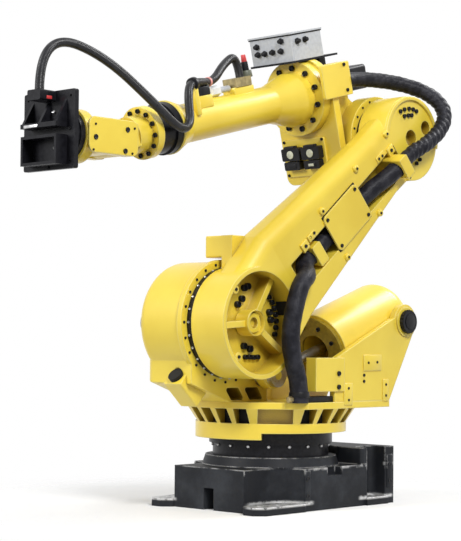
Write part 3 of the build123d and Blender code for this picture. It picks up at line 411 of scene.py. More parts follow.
finishes = {
    "arm_paint": arm_paint(),
    "base_paint": base_paint(),
    "loom_sleeve": sleeve(),
    "hose_rubber": rubber(),
    "black_paint": plain("black_paint", (0.014, 0.014, 0.017), 0.34, vary=0.5, gloss=LOW_GLOSS),
    "grey_paint": plain("grey_paint", (0.50, 0.52, 0.55), 0.36, vary=0.12),
    "olive_paint": plain("olive_paint", (0.33, 0.24, 0.020), 0.45, vary=0.3),
    "stop_rubber": plain("stop_rubber", (0.018, 0.018, 0.019), 0.6, gloss=LOW_GLOSS),
    "black_plastic": plain("black_plastic", (0.016, 0.016, 0.018), 0.38, gloss=LOW_GLOSS),
    "tool_paint": plain("tool_paint", (0.010, 0.010, 0.013), 0.34, vary=0.4, gloss=LOW_GLOSS),
    "steel": plain("steel", (0.60, 0.60, 0.60), 0.3, 1.0, vary=0.2),
    "brass_block": plain("brass_block", (0.42, 0.34, 0.17), 0.42, 0.8, vary=0.35),
    "screw": plain("screw", (0.014, 0.014, 0.016), 0.35, vary=0.3, gloss=LOW_GLOSS),
    "white_plastic": plain("white_plastic", (0.78, 0.79, 0.78), 0.4, vary=0.1),
    "cream_plastic": plain("cream_plastic", (0.60, 0.62, 0.50), 0.4, vary=0.2),
    "red_plastic": plain("red_plastic", (0.62, 0.05, 0.05), 0.4, vary=0.2),
    "grey_green": plain("grey_green", (0.13, 0.14, 0.10), 0.4, vary=0.3),
    "pink_tie": plain("pink_tie", (0.72, 0.30, 0.26), 0.45, vary=0.2),
}
for entry in frame["record"]["subparts"]:
    mesh = nodes[entry["node"]].data
    mesh.materials.clear()
    mesh.materials.append(finishes[entry["material_slot"]])
print(len(finishes), "finishes")

# %% [markdown]
# ## From a bmesh to a piece
# Every added piece goes the same way: its normals are made to point outwards, sharp corners are marked, and the mesh
# becomes an object that takes a finish.

# %% Finished pieces
SHARP = radians(40)


def finished(name, work, finish):
    bmesh.ops.recalc_face_normals(work, faces=work.faces)
    for edge in work.edges:
        edge.smooth = len(edge.link_faces) != 2 or edge.calc_face_angle() < SHARP
    for face in work.faces:
        face.smooth = True
    mesh = bpy.data.meshes.new(name)
    work.to_mesh(mesh)
    work.free()
    mesh.materials.append(finishes[finish])
    piece = bpy.data.objects.new(name, mesh)
    scene.collection.objects.link(piece)
    return piece


def riding(name, body, work, finish):
    """A finished piece that moves with one body."""
    piece = finished(name, work, finish)
    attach(piece, body)
    return piece


print("sharp edges from", round(SHARP / radians(1)), "degrees")

# %% [markdown]
# ## Hoses
# A hose is a ring of edges, extruded step by step along a smooth spline that the route's points control. The loom
# crosses the shoulder and the elbow, and the tool's hose crosses the three wrist joints; the pieces that cross a joint
# are left where they lie and ride on no body. The sleeve crumples: its folds slant round the hose and fade along it.

# %% Spline and tube
HOSE_SIDES = 28
FADE = 0.85


def centreline(points):
    """Points along the spline that a route's points control."""
    curve = bpy.data.curves.new("route", "CURVE")
    curve.dimensions = "3D"
    curve.resolution_u = 24
    spline = curve.splines.new("NURBS")
    spline.points.add(len(points) - 1)
    for knot, place in zip(spline.points, points):
        knot.co = (*place, 1)
    spline.order_u = 3
    spline.use_endpoint_u = True
    carrier = bpy.data.objects.new("route", curve)
    line = bpy.data.meshes.new_from_object(carrier)
    places = [v.co.copy() for v in line.vertices]
    bpy.data.objects.remove(carrier)
    bpy.data.meshes.remove(line)
    return places


def seat(centre, axis):
    """The matrix that puts a thing made along +Z at a place, pointing along an axis."""
    return Matrix.Translation(centre) @ axis.to_track_quat("Z", "Y").to_matrix().to_4x4()


def add_tube(work, line, radius, pleat=0.0, pitch=1.0):
    """Extrude a ring along a line, then draw slanting folds into it. pleat is their depth as a share of the radius."""
    along = work.verts.layers.float.get("along") or work.verts.layers.float.new("along")
    around = work.verts.layers.float.get("around") or work.verts.layers.float.new("around")
    ahead = (line[1] - line[0]).normalized()
    turn = seat(line[0], ahead)
    ring = bmesh.ops.create_circle(work, segments=HOSE_SIDES, radius=radius, cap_ends=True, matrix=turn)["verts"]
    for k, vert in enumerate(ring):
        vert[around] = 2 * pi * k / HOSE_SIDES
    edges = [e for e in {e for v in ring for e in v.link_edges}]
    travelled = 0.0
    rings = [(ring, 0.0)]
    for i in range(1, len(line)):
        travelled += (line[i] - line[i - 1]).length
        onward = (line[min(i + 1, len(line) - 1)] - line[i - 1]).normalized()
        swing = ahead.rotation_difference(onward).to_matrix().to_4x4()
        step = Matrix.Translation(line[i]) @ swing @ Matrix.Translation(-line[i - 1])
        made = bmesh.ops.extrude_edge_only(work, edges=edges)["geom"]
        verts = [g for g in made if isinstance(g, bmesh.types.BMVert)]
        fresh = set(verts)
        edges = [g for g in made if isinstance(g, bmesh.types.BMEdge) and fresh.issuperset(g.verts)]
        bmesh.ops.transform(work, matrix=step, verts=verts)
        rings.append((verts, travelled))
        ahead = onward
    bmesh.ops.contextual_create(work, geom=edges)
    for (verts, run), centre in zip(rings, line):
        taper = min(1, run / (3 * radius), (travelled - run) / (3 * radius)) * (1 - FADE * run / travelled)
        for vert in verts:
            fold = sin(2 * pi * run / pitch + 3 * vert[around]) + 0.6 * sin(2.3 * run / pitch - 2 * vert[around])
            vert.co = centre + (vert.co - centre) * (1 + pleat * taper * (fold - 0.6))
            vert[along] = run
    return travelled


print("hoses have", HOSE_SIDES, "sides")

# %% [markdown]
# The routes repeat the solids' own points. The tool's hose is cut where it passes from one joint's reach to the next,
# and each piece starts in line with the one before it.

# %% Routes
LOOM_DROP = 41
CLAMP_V = 14
CLAMP_RISE = 20


def onward(route, run):
    return route[-1] + (route[-1] - route[-2]).normalized() * run * MM


shoulder_route = [
    world(172, 292, 400),
    world(172, 292, 470),
    world(226, 307, 556),
    world(256, 318, 650),
    world(238, 326, 756),
    world(203, 325, 838),
    arm_face(276, CLAMP_V, 34),
    arm_face(328, CLAMP_V, -LOOM_DROP),
    arm_face(374.75, CLAMP_V, -LOOM_DROP),
]
arm_route = [
    shoulder_route[-1],
    arm_face(741.75, CLAMP_V, -LOOM_DROP),
    arm_face(868.825, CLAMP_V, CLAMP_RISE),
    arm_face(937.825, CLAMP_V, CLAMP_RISE),
]
elbow_route = [
    arm_route[-1],
    onward(arm_route, 60),
    J3 + world(-20, 394, -28),
    J3 + world(-126, 396, 44),
    J3 + world(-172, 380, 124),
    J3 + world(-138, 326, 194),
    J3 + world(-50, 226, 238),
    fore(40, 147, 262),
    fore(107, 147, 262),
]
dress_route = [
    fore(556, 0, 351),
    fore(556, 0, 438),
    fore(646, 12, 412),
    fore(742, 30, 352),
    fore(856, 54, 368),
    fore(946, 94, 356),
    fore(968, 108, 268),
]
rear_route = [
    dress_route[-1],
    onward(dress_route, 46),
    fore(1052, 130, 214),
    fore(1140, 110, 329),
    fore(1207, 84, 417),
]
middle_route = [rear_route[-1], onward(rear_route, 126), fore(1358, 22, 564)]
front_route = [middle_route[-1], onward(middle_route, 75), hand(318, 0, 244), hand(318, 0, 140)]

# %% Looms and hoses
LOOM_RADIUS = 0.034
ELBOW_LOOM_RADIUS = 0.030
HOSE_RADIUS = 0.016
CRUMPLE = 0.062
CREASE = 0.016
FOLD_PITCH = 0.048
CRUMPLE_PITCH = 0.027


def hose(node, route, radius, finish, body_a, body_b=None, pleat=0.0, pitch=FOLD_PITCH):
    """Replace a solid by a smooth hose that rides on one body, or, where a second body is given, stays where it lies.
    """
    line = centreline(route)
    work = bmesh.new()
    length = add_tube(work, line, radius, pleat, pitch)
    piece = finished(node + "_skin", work, finish)
    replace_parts(piece, node)
    if body_b:
        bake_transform(piece)
    else:
        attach(piece, body_a)
    print(node, round(length, 3), "m")
    return line


hose("shoulder_loom", shoulder_route, LOOM_RADIUS, "loom_sleeve", "turntable", "upper_arm", CREASE)
hose("arm_loom", arm_route, LOOM_RADIUS, "loom_sleeve", "upper_arm", None, CREASE)
hose("elbow_loom", elbow_route, ELBOW_LOOM_RADIUS, "loom_sleeve", "upper_arm", "forearm", CRUMPLE, CRUMPLE_PITCH)
dress_line = hose("dress_hose", dress_route, HOSE_RADIUS, "hose_rubber", "forearm")
hose("wrist_hose_rear", rear_route, HOSE_RADIUS, "hose_rubber", "forearm", "wrist")
hose("wrist_hose_middle", middle_route, HOSE_RADIUS, "hose_rubber", "wrist", "hand")
hose("wrist_hose_front", front_route, HOSE_RADIUS, "hose_rubber", "hand", "tool")

# %% [markdown]
# ## Small shapes
# Nearly every fitting on the arm is a round post, a block or a cap screw. Each helper adds one to a bmesh, with its
# rims or edges bevelled, so that one piece can hold many of them.

# %% Posts, blocks and cap screws


def rounded(work, verts, offset, pick):
    """Bevel the edges of a new shape that pick chooses."""
    edges = [e for e in {e for v in verts for e in v.link_edges} if pick(e)]
    bmesh.ops.bevel(
        work, geom=edges, offset=offset, segments=2, profile=0.5, affect="EDGES", material=-1
    )


def post(work, foot, axis, radius, length, sides=24, top=1.0):
    """A round or many-sided post. top is its upper radius as a share of the lower."""
    place = seat(foot + axis * length / 2, axis)
    made = bmesh.ops.create_cone(
        work, cap_ends=True, segments=sides, radius1=radius, radius2=radius * top, depth=length, matrix=place
    )["verts"]
    level = lambda e: abs((e.verts[0].co - e.verts[1].co).dot(axis)) < radius * 0.01
    rounded(work, made, min(radius, length) * 0.12, level)


def block(work, centre, ahead, left, size, edge=0.0015):
    """A block with its length ahead, its width to the left and its height across both."""
    up = ahead.cross(left)
    place = Matrix([[ahead[i], left[i], up[i], centre[i]] for i in range(3)] + [[0, 0, 0, 1]])
    stretch = Matrix.Diagonal((*size, 1))
    made = bmesh.ops.create_cube(work, size=1, matrix=place @ stretch)["verts"]
    rounded(work, made, edge, lambda e: True)


def cap_screw(work, centre, axis, radius, height, sides=16):
    """A cylinder head with a chamfered rim and a socket sunk in its top."""
    place = seat(centre + axis * height / 2, axis)
    made = bmesh.ops.create_cone(
        work, cap_ends=True, segments=sides, radius1=radius, radius2=radius, depth=height, matrix=place
    )["verts"]
    faces = {f for v in made for f in v.link_faces}
    top = max(faces, key=lambda f: f.calc_center_median().dot(axis))
    bmesh.ops.inset_region(work, faces=[top], thickness=radius * 0.12, depth=radius * 0.10)
    bmesh.ops.inset_region(work, faces=[top], thickness=radius * 0.34)
    bmesh.ops.translate(work, verts=top.verts, vec=-axis * height * 0.55)


def screws(name, body, seats, radius, height, finish="screw"):
    """One piece that holds a screw at each seat, a pair of place and axis. Sizes in millimetres."""
    work = bmesh.new()
    for centre, axis in seats:
        cap_screw(work, centre, axis, radius * MM, height * MM)
    return riding(name, body, work, finish)


def ring_seats(centre, axis, first, circle, count, start=0.0):
    """Seats on a circle about an axis, in degrees from the direction first."""
    second = axis.cross(first)
    turns = [radians(start + 360 * k / count) for k in range(count)]
    return [(centre + (first * cos(t) + second * sin(t)) * circle * MM, axis) for t in turns]


def rim_seats(centre, axis, first, circle, count):
    """Seats round the outside of a ring, each pointing outwards."""
    return [(place, (place - centre).normalized()) for place, _ in ring_seats(centre, axis, first, circle, count)]


print("shapes ready")

# %% [markdown]
# ## Bolted joints
# Flanges are where a robot is put together, so their bolt circles tell the eye how large it is. The counts and
# circles follow the real ones: dark bolts on painted flanges, bright ones on the black reducer rings.

# %% Bolt circles
J1_STEP = world(0, 0, 231)
DRUM_FACE = J2 + LEFT * 88 * MM
DRUM_GAP = J2 + LEFT * 99 * MM
BALANCER_FACE = TRUNNION + ROD_ALONG * 0.364

screws("forearm_flange_screws", "forearm",
       ring_seats(fore(262, 0, 225), FORE_ALONG, LEFT, 121, 11, 83), 11, 10)
screws("wrist_flange_screws", "wrist",
       ring_seats(fore(1126, 0, 225), FORE_ALONG, LEFT, 80, 12, 22), 8.5, 8)
screws("elbow_boss_screws", "forearm", ring_seats(J3 + LEFT * 180 * MM, LEFT, AHEAD, 163, 20, 5), 4.5, 3)
screws("drum_screws", "turntable", ring_seats(DRUM_FACE, LEFT, AHEAD, 217, 24), 5, 3)
screws("shoulder_ring_screws", "upper_arm", rim_seats(DRUM_GAP, LEFT, AHEAD, 203, 27), 4.5, 3, "steel")
screws("first_axis_screws", "base", rim_seats(J1_STEP, UP, AHEAD, 222, 18), 6, 5, "steel")
screws("balancer_plate_screws", "balancer", ring_seats(BALANCER_FACE, ROD_ALONG, LEFT, 98, 8, 20), 8, 7)
print("bolt circles placed")

# %% [markdown]
# ## Bolts inside the arm's pockets
# The shoulder and the elbow are dished, and the reducers' bolts stand on the floors of the pockets. They sit in loose
# rows rather than full circles, so they are listed one by one, by their place about the joint.

# %% Shoulder and elbow pockets
SHOULDER_FLOOR = 176
ELBOW_FACE = 338
SHOULDER_LARGE = ((3, 127), (-15, 133), (16, 87), (38, 66), (3, -84), (-30, -94), (-134, 41), (-141, 13))
SHOULDER_SMALL = (
    (-132, 96), (-149, 77), (-161, 56), (-168, 33), (-172, 9), (-171, -15), (-165, -40),
    (-6, -124), (-28, -124), (-50, -125), (-72, -124),
)
ELBOW_BOLTS = ((72, 99), (47, 109), (18, 115), (-8, 115), (-30, 110), (47, 83), (22, 88), (1, 91), (-105, 18))
PADS_IN_DISH = ((126, 117), (109, -122))


def about(joint, places, y):
    return [(joint + world(x, y, z), LEFT) for x, z in places]


screws("shoulder_bolts", "upper_arm", about(J2, SHOULDER_LARGE, SHOULDER_FLOOR), 12.5, 14)
screws("shoulder_arc_bolts", "upper_arm", about(J2, SHOULDER_SMALL, SHOULDER_FLOOR), 9.5, 12)
screws("elbow_bolts", "upper_arm", about(J3, ELBOW_BOLTS, ELBOW_FACE), 8.5, 7)
screws("elbow_rim_bolts", "upper_arm", [(arm(1033, 92, 338), LEFT), (arm(1060, 94, 338), LEFT)], 8, 8)
dish_pads = bmesh.new()
for place, axis in about(J2, PADS_IN_DISH, SHOULDER_FLOOR):
    post(dish_pads, place, axis, 0.016, 0.080)
riding("shoulder_pads", "upper_arm", dish_pads, "arm_paint")
screws("shoulder_pad_screws", "upper_arm", about(J2, PADS_IN_DISH, SHOULDER_FLOOR + 80), 6, 4)
HUB_TOP = 240
hub = bmesh.new()
hub_place = seat(J2 + world(0, HUB_TOP - 30, 0), LEFT)
ring = bmesh.ops.create_cone(
    hub, cap_ends=True, segments=40, radius1=0.048, radius2=0.048, depth=0.060, matrix=hub_place
)["verts"]
hub_faces = {f for v in ring for f in v.link_faces}
hub_end = max(hub_faces, key=lambda f: f.calc_center_median().y)
bmesh.ops.inset_region(hub, faces=[hub_end], thickness=0.003, depth=0.002)
bmesh.ops.inset_region(hub, faces=[hub_end], thickness=0.010)
bmesh.ops.translate(hub, verts=hub_end.verts, vec=LEFT * -0.030)
riding("shoulder_hub", "upper_arm", hub, "arm_paint")
# Painted shade: a dark plate on the dish's wall stands for the dark inside of an opening.
port = bmesh.new()
port_way = Vector((-0.953, 0, 0.303))
block(port, J2 + LEFT * 0.218 + port_way * 0.1835, port_way, LEFT, (0.004, 0.068, 0.052), 0.001)
riding("shoulder_port_shade", "upper_arm", port, "stop_rubber")

RIM_MIDDLE = 157
RIM_WIDTH = 0.014
RIM_RISE = 0.009
RIM_SWEEP = radians(190)
rim = bmesh.new()
rim_start = Matrix.Translation(J3 + world(RIM_MIDDLE, ELBOW_FACE, 0))
rim_shape = Matrix.Diagonal((RIM_WIDTH, 2 * RIM_RISE, 1, 1))
profile = bmesh.ops.create_grid(rim, x_segments=1, y_segments=1, size=0.5, matrix=rim_start @ rim_shape)
bmesh.ops.spin(
    rim, geom=profile["verts"] + rim.edges[:] + rim.faces[:], cent=J3, axis=(0, -1, 0), angle=RIM_SWEEP, steps=60
)
riding("elbow_rim", "upper_arm", rim, "arm_paint")
print(len(SHOULDER_LARGE) + len(SHOULDER_SMALL), "shoulder bolts,", len(ELBOW_BOLTS), "elbow bolts")

# %% [markdown]
# ## Cast bosses along the upper arm
# Three bosses stand on each edge of the arm's left face, with a screw in each. The loom's clamps and cover are screwed
# down beside them.

# %% Bosses, clamp ears and the cover's screws
BOSSES = ((956, -113), (735, -119), (497, -108), (956, 101), (735, 98), (497, 116))
CLAMP_EARS = ((937, -48), (352, -62))
TAPPED_HOLES = ((858, -68), (882, -64), (392, -70), (418, -70))
COVER_SCREWS = ((496, -66), (678, -66), (496, 58), (678, 58))
FLAT_FROM = 860


def on_arm(u, v, lift=0):
    """A seat on the arm's left face, which runs flat past the crank."""
    if u > FLAT_FROM:
        return arm(u, v, 338 + lift), LEFT
    return arm_face(u, v, lift), FACE_NORMAL


bosses = bmesh.new()
for u, v in BOSSES:
    place, axis = on_arm(u, v, -6)
    post(bosses, place, axis, 0.015, 0.016, top=0.85)
for u, v in CLAMP_EARS:
    place, axis = on_arm(u, v)
    block(bosses, place, ARM_ALONG, axis, (0.040, 0.012, 0.036))
for u in (870, 405):
    place, axis = on_arm(u, -68)
    block(bosses, place, ARM_ALONG, axis, (0.054, 0.005, 0.026))
riding("arm_bosses", "upper_arm", bosses, "arm_paint")
gasket = bmesh.new()
block(gasket, arm_face(587, -4, 1), FACE_ALONG, FACE_NORMAL, (0.214, 0.004, 0.166), 0.001)
riding("loom_cover_gasket", "upper_arm", gasket, "stop_rubber")
screws("arm_boss_screws", "upper_arm", [on_arm(u, v, 9.5) for u, v in BOSSES], 5, 3)
screws("clamp_ear_screws", "upper_arm", [on_arm(u, v, 5.5) for u, v in CLAMP_EARS], 7, 4)
screws("tapped_hole_screws", "upper_arm", [on_arm(u, v, 2) for u, v in TAPPED_HOLES], 6, 2)
screws("loom_cover_screws", "upper_arm", [on_arm(u, v, 8) for u, v in COVER_SCREWS], 7, 4)
print(len(BOSSES), "bosses")

# %% [markdown]
# ## The balancer's wall
# The near wall carries three raised pads with screws, two screws of its own and the loom's guard plate. The trunnion
# caps are knurled, so that they can be turned by hand: a many-sided ring whose every other side is drawn in.

# %% Pads, screws and knurled caps
WALL_Y = 318
WALL_PADS = ((-222, 545, 108, 62), (-77, 428, 50, 84), (-304, 440, 34, 84))
PAD_SCREWS = ((-196, 545), (-249, 547), (-77, 450), (-78, 406), (-304, 461), (-304, 419))
WALL_SCREWS = ((-173, 498), (-173, 475))
GUARD_SCREWS = ((-12, 506), (-12, 456))
PAD_RISE = 4


def on_wall(places, y):
    return [(world(x, y, z), LEFT) for x, z in places]


wall_pads = bmesh.new()
for x, z, width, height in WALL_PADS:
    size = (width * MM, PAD_RISE * MM, height * MM)
    block(wall_pads, world(x, WALL_Y + PAD_RISE / 2, z), AHEAD, LEFT, size)
riding("wall_pads", "turntable", wall_pads, "arm_paint")
screws("wall_pad_screws", "turntable", on_wall(PAD_SCREWS, WALL_Y + PAD_RISE), 5, 2)
screws("wall_screws", "turntable", on_wall(WALL_SCREWS, WALL_Y), 6, 3)
screws("guard_screws", "turntable", on_wall(GUARD_SCREWS, WALL_Y + 8), 9, 6)

KNURLS = 20
caps = bmesh.new()
for y, side in ((324, 1), (-28, -1)):
    axis = LEFT * side
    foot = TRUNNION.copy()
    foot.y = y * MM
    ring = bmesh.ops.create_cone(
        caps, cap_ends=True, segments=2 * KNURLS, radius1=0.047, radius2=0.047, depth=0.014,
        matrix=seat(foot + axis * 0.009, axis),
    )["verts"]
    drawn_in = [v for k, v in enumerate(sorted(ring, key=lambda v: v.index)) if k // 2 % 2]
    for vert in drawn_in:
        centre = foot + axis * (vert.co - foot).dot(axis)
        vert.co = centre + (vert.co - centre) * 0.93
    post(caps, foot + axis * 0.018, axis, 0.030, 0.003)
riding("trunnion_knurls", "turntable", caps, "black_plastic")
print(len(WALL_PADS), "pads,", KNURLS, "knurls a cap")

# %% [markdown]
# ## The base's sides
# Two strips are cast on each side of the base, each with two tapped holes. A fork truck's pockets bolt on there.

# %% Strips and their holes
BASE_SIDE = 283
STRIPS = ((112, 85, 30, 130, (121, 57)), (-377, 125, 36, 130, (150, 87)))
strip_work = bmesh.new()
strip_seats = []
for x, z, width, height, holes in STRIPS:
    for side in (1, -1):
        centre = world(x, side * BASE_SIDE, z)
        block(strip_work, centre, AHEAD, LEFT, (width * MM, 0.006, height * MM), 0.002)
        strip_seats += [(world(x, side * (BASE_SIDE + 3), hole), LEFT * side) for hole in holes]
riding("base_strips", "base", strip_work, "base_paint")
screws("base_strip_holes", "base", strip_seats, 8, 2)
print(len(strip_seats), "tapped holes")

# %% [markdown]
# ## The skirt and the loom's foot
# The real skirt is hollow behind its slots, so a dark plate of painted shade stands at the back of each. The shoulder
# loom rises from a black foot plate on the deck, with a brass air fitting at its front end.

# %% Painted shade in the slots, foot plate and fitting
SLOT_FLOOR = 262.5
SLOT_MIDDLE = 347.5
SLOT_ANGLES = [90 * quarter + 14 * (n - 1.5) for quarter in range(4) for n in range(4)]
DECK_TOP = 400
# Painted shade: a dark plate at the back of each slot, where the hollow skirt is dark inside.
slot_shade_plates = bmesh.new()
for angle in SLOT_ANGLES:
    out = Vector((cos(radians(angle)), sin(radians(angle)), 0))
    centre = out * SLOT_FLOOR * MM + UP * SLOT_MIDDLE * MM
    block(slot_shade_plates, centre, out, UP.cross(out), (0.003, 0.050, 0.054), 0.0005)
riding("slot_shade_plates", "turntable", slot_shade_plates, "stop_rubber")
foot = bmesh.new()
block(foot, world(96, 284, DECK_TOP + 11), AHEAD, LEFT, (0.200, 0.052, 0.022), 0.003)
post(foot, world(172, 292, DECK_TOP + 20), UP, 0.039, 0.020, 32, 0.95)
riding("loom_foot", "turntable", foot, "black_plastic")
fitting = bmesh.new()
post(fitting, world(196, 286, DECK_TOP + 13), AHEAD, 0.012, 0.030, 6)
riding("foot_fitting", "turntable", fitting, "brass_block")
print(len(SLOT_ANGLES), "slots")

# %% [markdown]
# ## The connector panel
# Two large round plugs stand over two small square ones on the front of the elbow. Each large plug has a cream insert
# and a locking lever over it. The panel's four corner screws hold it on.

# %% Plugs and levers
PLUG_FACE = 258
PANEL_FACE = 228
PLUG_COLUMNS = (-71, 31)
LARGE_ROW = 6
SMALL_ROW = -40
PANEL_CORNERS = ((-118, 54), (78, 54), (-118, -80), (78, -80))

inserts = bmesh.new()
levers = bmesh.new()
for y in PLUG_COLUMNS:
    post(inserts, fore(PLUG_FACE, y, LARGE_ROW), FORE_ALONG, 0.016, 0.003, 32)
    block(levers, fore(PLUG_FACE - 8, y, LARGE_ROW + 29), FORE_ALONG, LEFT, (0.026, 0.052, 0.010), 0.003)
    for side in (-1, 1):
        arm_of_lever = fore(PLUG_FACE - 6, y + side * 29, LARGE_ROW + 10)
        block(levers, arm_of_lever, FORE_ALONG, LEFT, (0.010, 0.005, 0.044), 0.0015)
    block(levers, fore(PLUG_FACE, y, SMALL_ROW), FORE_ALONG, LEFT, (0.006, 0.044, 0.018), 0.0015)
block(inserts, fore(PLUG_FACE + 3, PLUG_COLUMNS[1], SMALL_ROW), FORE_ALONG, LEFT, (0.004, 0.026, 0.010), 0.001)
riding("plug_inserts", "forearm", inserts, "cream_plastic")
riding("plug_levers", "forearm", levers, "black_plastic")
screws("panel_screws", "forearm", [(fore(PANEL_FACE, y, w), FORE_ALONG) for y, w in PANEL_CORNERS], 6, 4)
print(len(PLUG_COLUMNS), "large plugs")

# %% [markdown]
# ## The junction box
# Cable glands stand on its front and its left side: a six-sided nut, then a domed cap. A dark gasket shows under
# the lid.

# %% Glands and gasket
BOX_FRONT = 308
BOX_LEFT = 70
FRONT_GLANDS = ((-107, 417), (-72, 417), (-31, 418), (13, 418), (-108, 447), (20, 456))
SIDE_GLANDS = ((277, 448), (230, 449))


def gland(work, place, axis, radius):
    post(work, place, axis, radius, radius * 0.7, 6)
    post(work, place + axis * radius * 0.7, axis, radius * 0.82, radius * 0.8, 20, 0.72)


glands = bmesh.new()
for y, w in FRONT_GLANDS:
    gland(glands, fore(BOX_FRONT, y, w), FORE_ALONG, 0.0125)
for x, w in SIDE_GLANDS:
    gland(glands, fore(x, BOX_LEFT, w), LEFT, 0.0125)
riding("box_glands", "forearm", glands, "black_plastic")
gasket = bmesh.new()
block(gasket, fore(215, -38.5, 475), FORE_ALONG, LEFT, (0.190, 0.221, 0.005), 0.001)
riding("box_gasket", "forearm", gasket, "stop_rubber")
print(len(FRONT_GLANDS) + len(SIDE_GLANDS), "glands")

# %% [markdown]
# ## The elbow's cable cover
# Two screws hold the box where the loom enters the forearm.

# %% Cover screws
COVER_SIDE = 172
screws("cable_cover_screws", "forearm", [(fore(140, COVER_SIDE, w), LEFT) for w in (328, 228)], 7, 5)
print("cover screwed down")

# %% [markdown]
# ## The air fittings on the forearm
# A filter stands on the brass block: a black pipe, a grey-green collar, a dark bowl and a red drain cap. A grey pipe
# leads from the block to a white fitting, and a soft tie holds the hose to it. The block's saddle is painted with the
# forearm.

# %% Filter, pipe and tie
FILTER_X = 518
FILTER_STACK = (
    ("black_plastic", 297, 345, 13, 1.0),
    ("grey_green", 345, 372, 24, 0.9),
    ("black_plastic", 372, 405, 14, 0.9),
    ("red_plastic", 405, 432, 11, 0.8),
)
PIPE_HEIGHT = 318
for number, (finish, low, high, radius, top) in enumerate(FILTER_STACK):
    stage = bmesh.new()
    post(stage, fore(FILTER_X, 0, low), FORE_UP, radius * MM, (high - low) * MM, 28, top)
    riding(f"filter_{number}", "forearm", stage, finish)
saddle = bmesh.new()
block(saddle, fore(575, 0, 296), FORE_ALONG, LEFT, (0.110, 0.064, 0.042), 0.004)
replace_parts(riding("painted_saddle", "forearm", saddle, "arm_paint"), "manifold_saddle")
pipe = bmesh.new()
post(pipe, fore(628, 0, PIPE_HEIGHT), FORE_ALONG, 0.012, 0.064, 16)
riding("air_pipe", "forearm", pipe, "grey_paint")
fitting = bmesh.new()
post(fitting, fore(688, 0, PIPE_HEIGHT), FORE_ALONG, 0.021, 0.044, 6)
riding("air_fitting", "forearm", fitting, "white_plastic")


def collar(name, near, radius, length, finish):
    """A collar round the dress hose, at the point of its line that is nearest to a place."""
    at = min(range(len(dress_line) - 1), key=lambda i: (dress_line[i] - near).length)
    axis = (dress_line[at + 1] - dress_line[at]).normalized()
    work = bmesh.new()
    post(work, dress_line[at] - axis * length / 2, axis, radius, length, HOSE_SIDES)
    riding(name, "forearm", work, finish)
    return dress_line[at]


collar("hose_tie", fore(774, 34, 363), HOSE_RADIUS * 1.14, 0.012, "pink_tie")
eye = collar("guide_eye", fore(885, 67, 362), HOSE_RADIUS * 1.5, 0.024, "black_paint")
guide = bmesh.new()
block(guide, eye - FORE_UP * 0.066, FORE_ALONG, LEFT, (0.018, 0.026, 0.100))
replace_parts(riding("guide_post", "forearm", guide, "arm_paint"), "hose_guide")
clip = bmesh.new()
block(clip, fore(822, 44, 330), FORE_ALONG, LEFT, (0.066, 0.028, 0.034), 0.004)
riding("hose_clip", "forearm", clip, "black_paint")
boss = bmesh.new()
block(boss, fore(822, 42, 291), FORE_ALONG, LEFT, (0.078, 0.036, 0.046), 0.004)
riding("clip_boss", "forearm", boss, "arm_paint")
print("filter of", len(FILTER_STACK), "stages")

# %% [markdown]
# ## The hand and the tool
# Screws hold the hand's side covers and the tool's front plate, two of them bright. A steel strip faces the shelf, and
# a red tag marks the block that the tool's hose enters.

# %% Cover screws, plate screws and tag
HAND_SIDE = 101.3
HAND_LARGE = ((153, -9), (6, 29), (16, -46))
HAND_SMALL = ((154, 35), (163, -53), (-27, 36), (-17, -52))
PLATE_FACE = 273
PLATE_SCREWS = ((72, 87), (107, 8), (-2, -118), (-105, -80))
BRIGHT_SCREWS = ((27, 69), (32, -54))


def on_hand(places):
    return [(hand(x, side * HAND_SIDE, z), LEFT * side) for x, z in places for side in (1, -1)]


screws("hand_cover_screws", "hand", on_hand(HAND_LARGE), 9, 4)
screws("hand_cover_small_screws", "hand", on_hand(HAND_SMALL), 4, 3)
screws("plate_screws", "tool", [(hand(PLATE_FACE, y, z), AHEAD) for y, z in PLATE_SCREWS], 5, 4)
screws("plate_bright_screws", "tool", [(hand(PLATE_FACE, y, z), AHEAD) for y, z in BRIGHT_SCREWS], 6, 6, "steel")
strip = bmesh.new()
block(strip, hand(324, -36, 20), AHEAD, LEFT, (0.004, 0.070, 0.010), 0.001)
riding("shelf_strip", "tool", strip, "steel")
tag = bmesh.new()
block(tag, hand(303, 33, 115), AHEAD, LEFT, (0.023, 0.003, 0.011), 0.0008)
riding("hose_tag", "tool", tag, "red_plastic")
print(len(HAND_LARGE) + len(HAND_SMALL), "screws on each side of the hand")

# %% [markdown]
# ## Floor and light
# A broad lamp stands high over the camera's right shoulder, a weaker one to the left, and a strip behind rims the
# castings. The lamps are low enough that the yellow renders about as it is mixed. The white of the background is the
# world as the camera alone sees it, and the floor fades into it beyond the shadow.

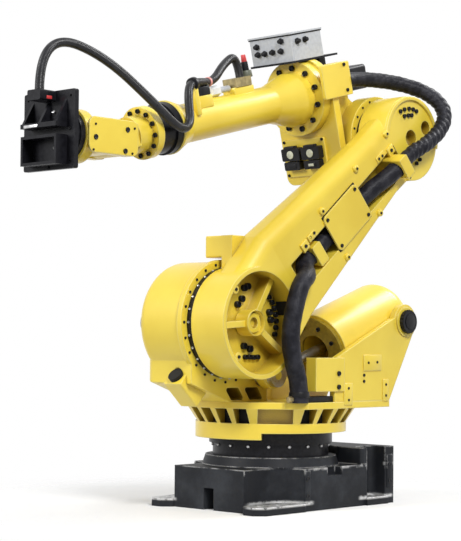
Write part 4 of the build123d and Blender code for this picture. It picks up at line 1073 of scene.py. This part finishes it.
# %% Stage, lamps and world
FLOOR_WHITE = (0.90, 0.90, 0.90)
FLOOR_FADE = (0.45, 1.1)
LAMPS = (
    ("key", (2.2, 4.4, 4.6), 1.6, 295),
    ("side", (4.8, -1.6, 2.8), 1.8, 160),
    ("rim", (-3.0, 1.0, 4.2), 1.6, 110),
)
LOOK_AT = Vector((0.3, 0, 0.9))
WORLD_LEVEL = 0.28

floor_work = bmesh.new()
bmesh.ops.create_grid(floor_work, x_segments=1, y_segments=1, size=6)
floor_finish = Finish("floor")
floor_finish.set(Base_Color=FLOOR_WHITE, Roughness=0.8)
clear = floor_finish.node("ShaderNodeBsdfTransparent", {}, {})
solid = Value(floor_finish, floor_finish.shader.outputs[0])
near_arm = floor_finish.near((0, 0, 0), *FLOOR_FADE)
faded = floor_finish.node("ShaderNodeMixShader", {}, {0: near_arm, 1: clear, 2: solid})
floor_finish.feed(floor_finish.tree.nodes["Material Output"].inputs["Surface"], faded)
finishes["floor"] = floor_finish.material
finished("floor", floor_work, "floor")
for name, place, size, watts in LAMPS:
    lamp = bpy.data.lights.new(name, "AREA")
    lamp.energy = watts
    lamp.size = size
    holder = bpy.data.objects.new(name, lamp)
    holder.matrix_world = seat(Vector(place), Vector(place) - LOOK_AT)
    scene.collection.objects.link(holder)

world_light = bpy.data.worlds.new("world")
scene.world = world_light
world_light.use_nodes = True
tree = world_light.node_tree
sky = tree.nodes["Background"]
sky.inputs["Color"].default_value = (1, 1, 1, 1)
sky.inputs["Strength"].default_value = WORLD_LEVEL
seen = tree.nodes.new("ShaderNodeBackground")
seen.inputs["Strength"].default_value = 1
rays = tree.nodes.new("ShaderNodeLightPath")
either = tree.nodes.new("ShaderNodeMixShader")
share = rays.outputs["Is Camera Ray"]
for kind in ("Is Glossy Ray", "Is Transmission Ray"):
    larger = tree.nodes.new("ShaderNodeMath")
    larger.operation = "MAXIMUM"
    tree.links.new(share, larger.inputs[0])
    tree.links.new(rays.outputs[kind], larger.inputs[1])
    share = larger.outputs[0]
tree.links.new(share, either.inputs["Fac"])
tree.links.new(sky.outputs["Background"], either.inputs[1])
tree.links.new(seen.outputs["Background"], either.inputs[2])
tree.links.new(either.outputs["Shader"], tree.nodes["World Output"].inputs["Surface"])
seen.inputs["Color"].default_value = (1, 1, 1, 1)
scene.view_settings.view_transform = "Standard"
print(len(LAMPS), "lamps")
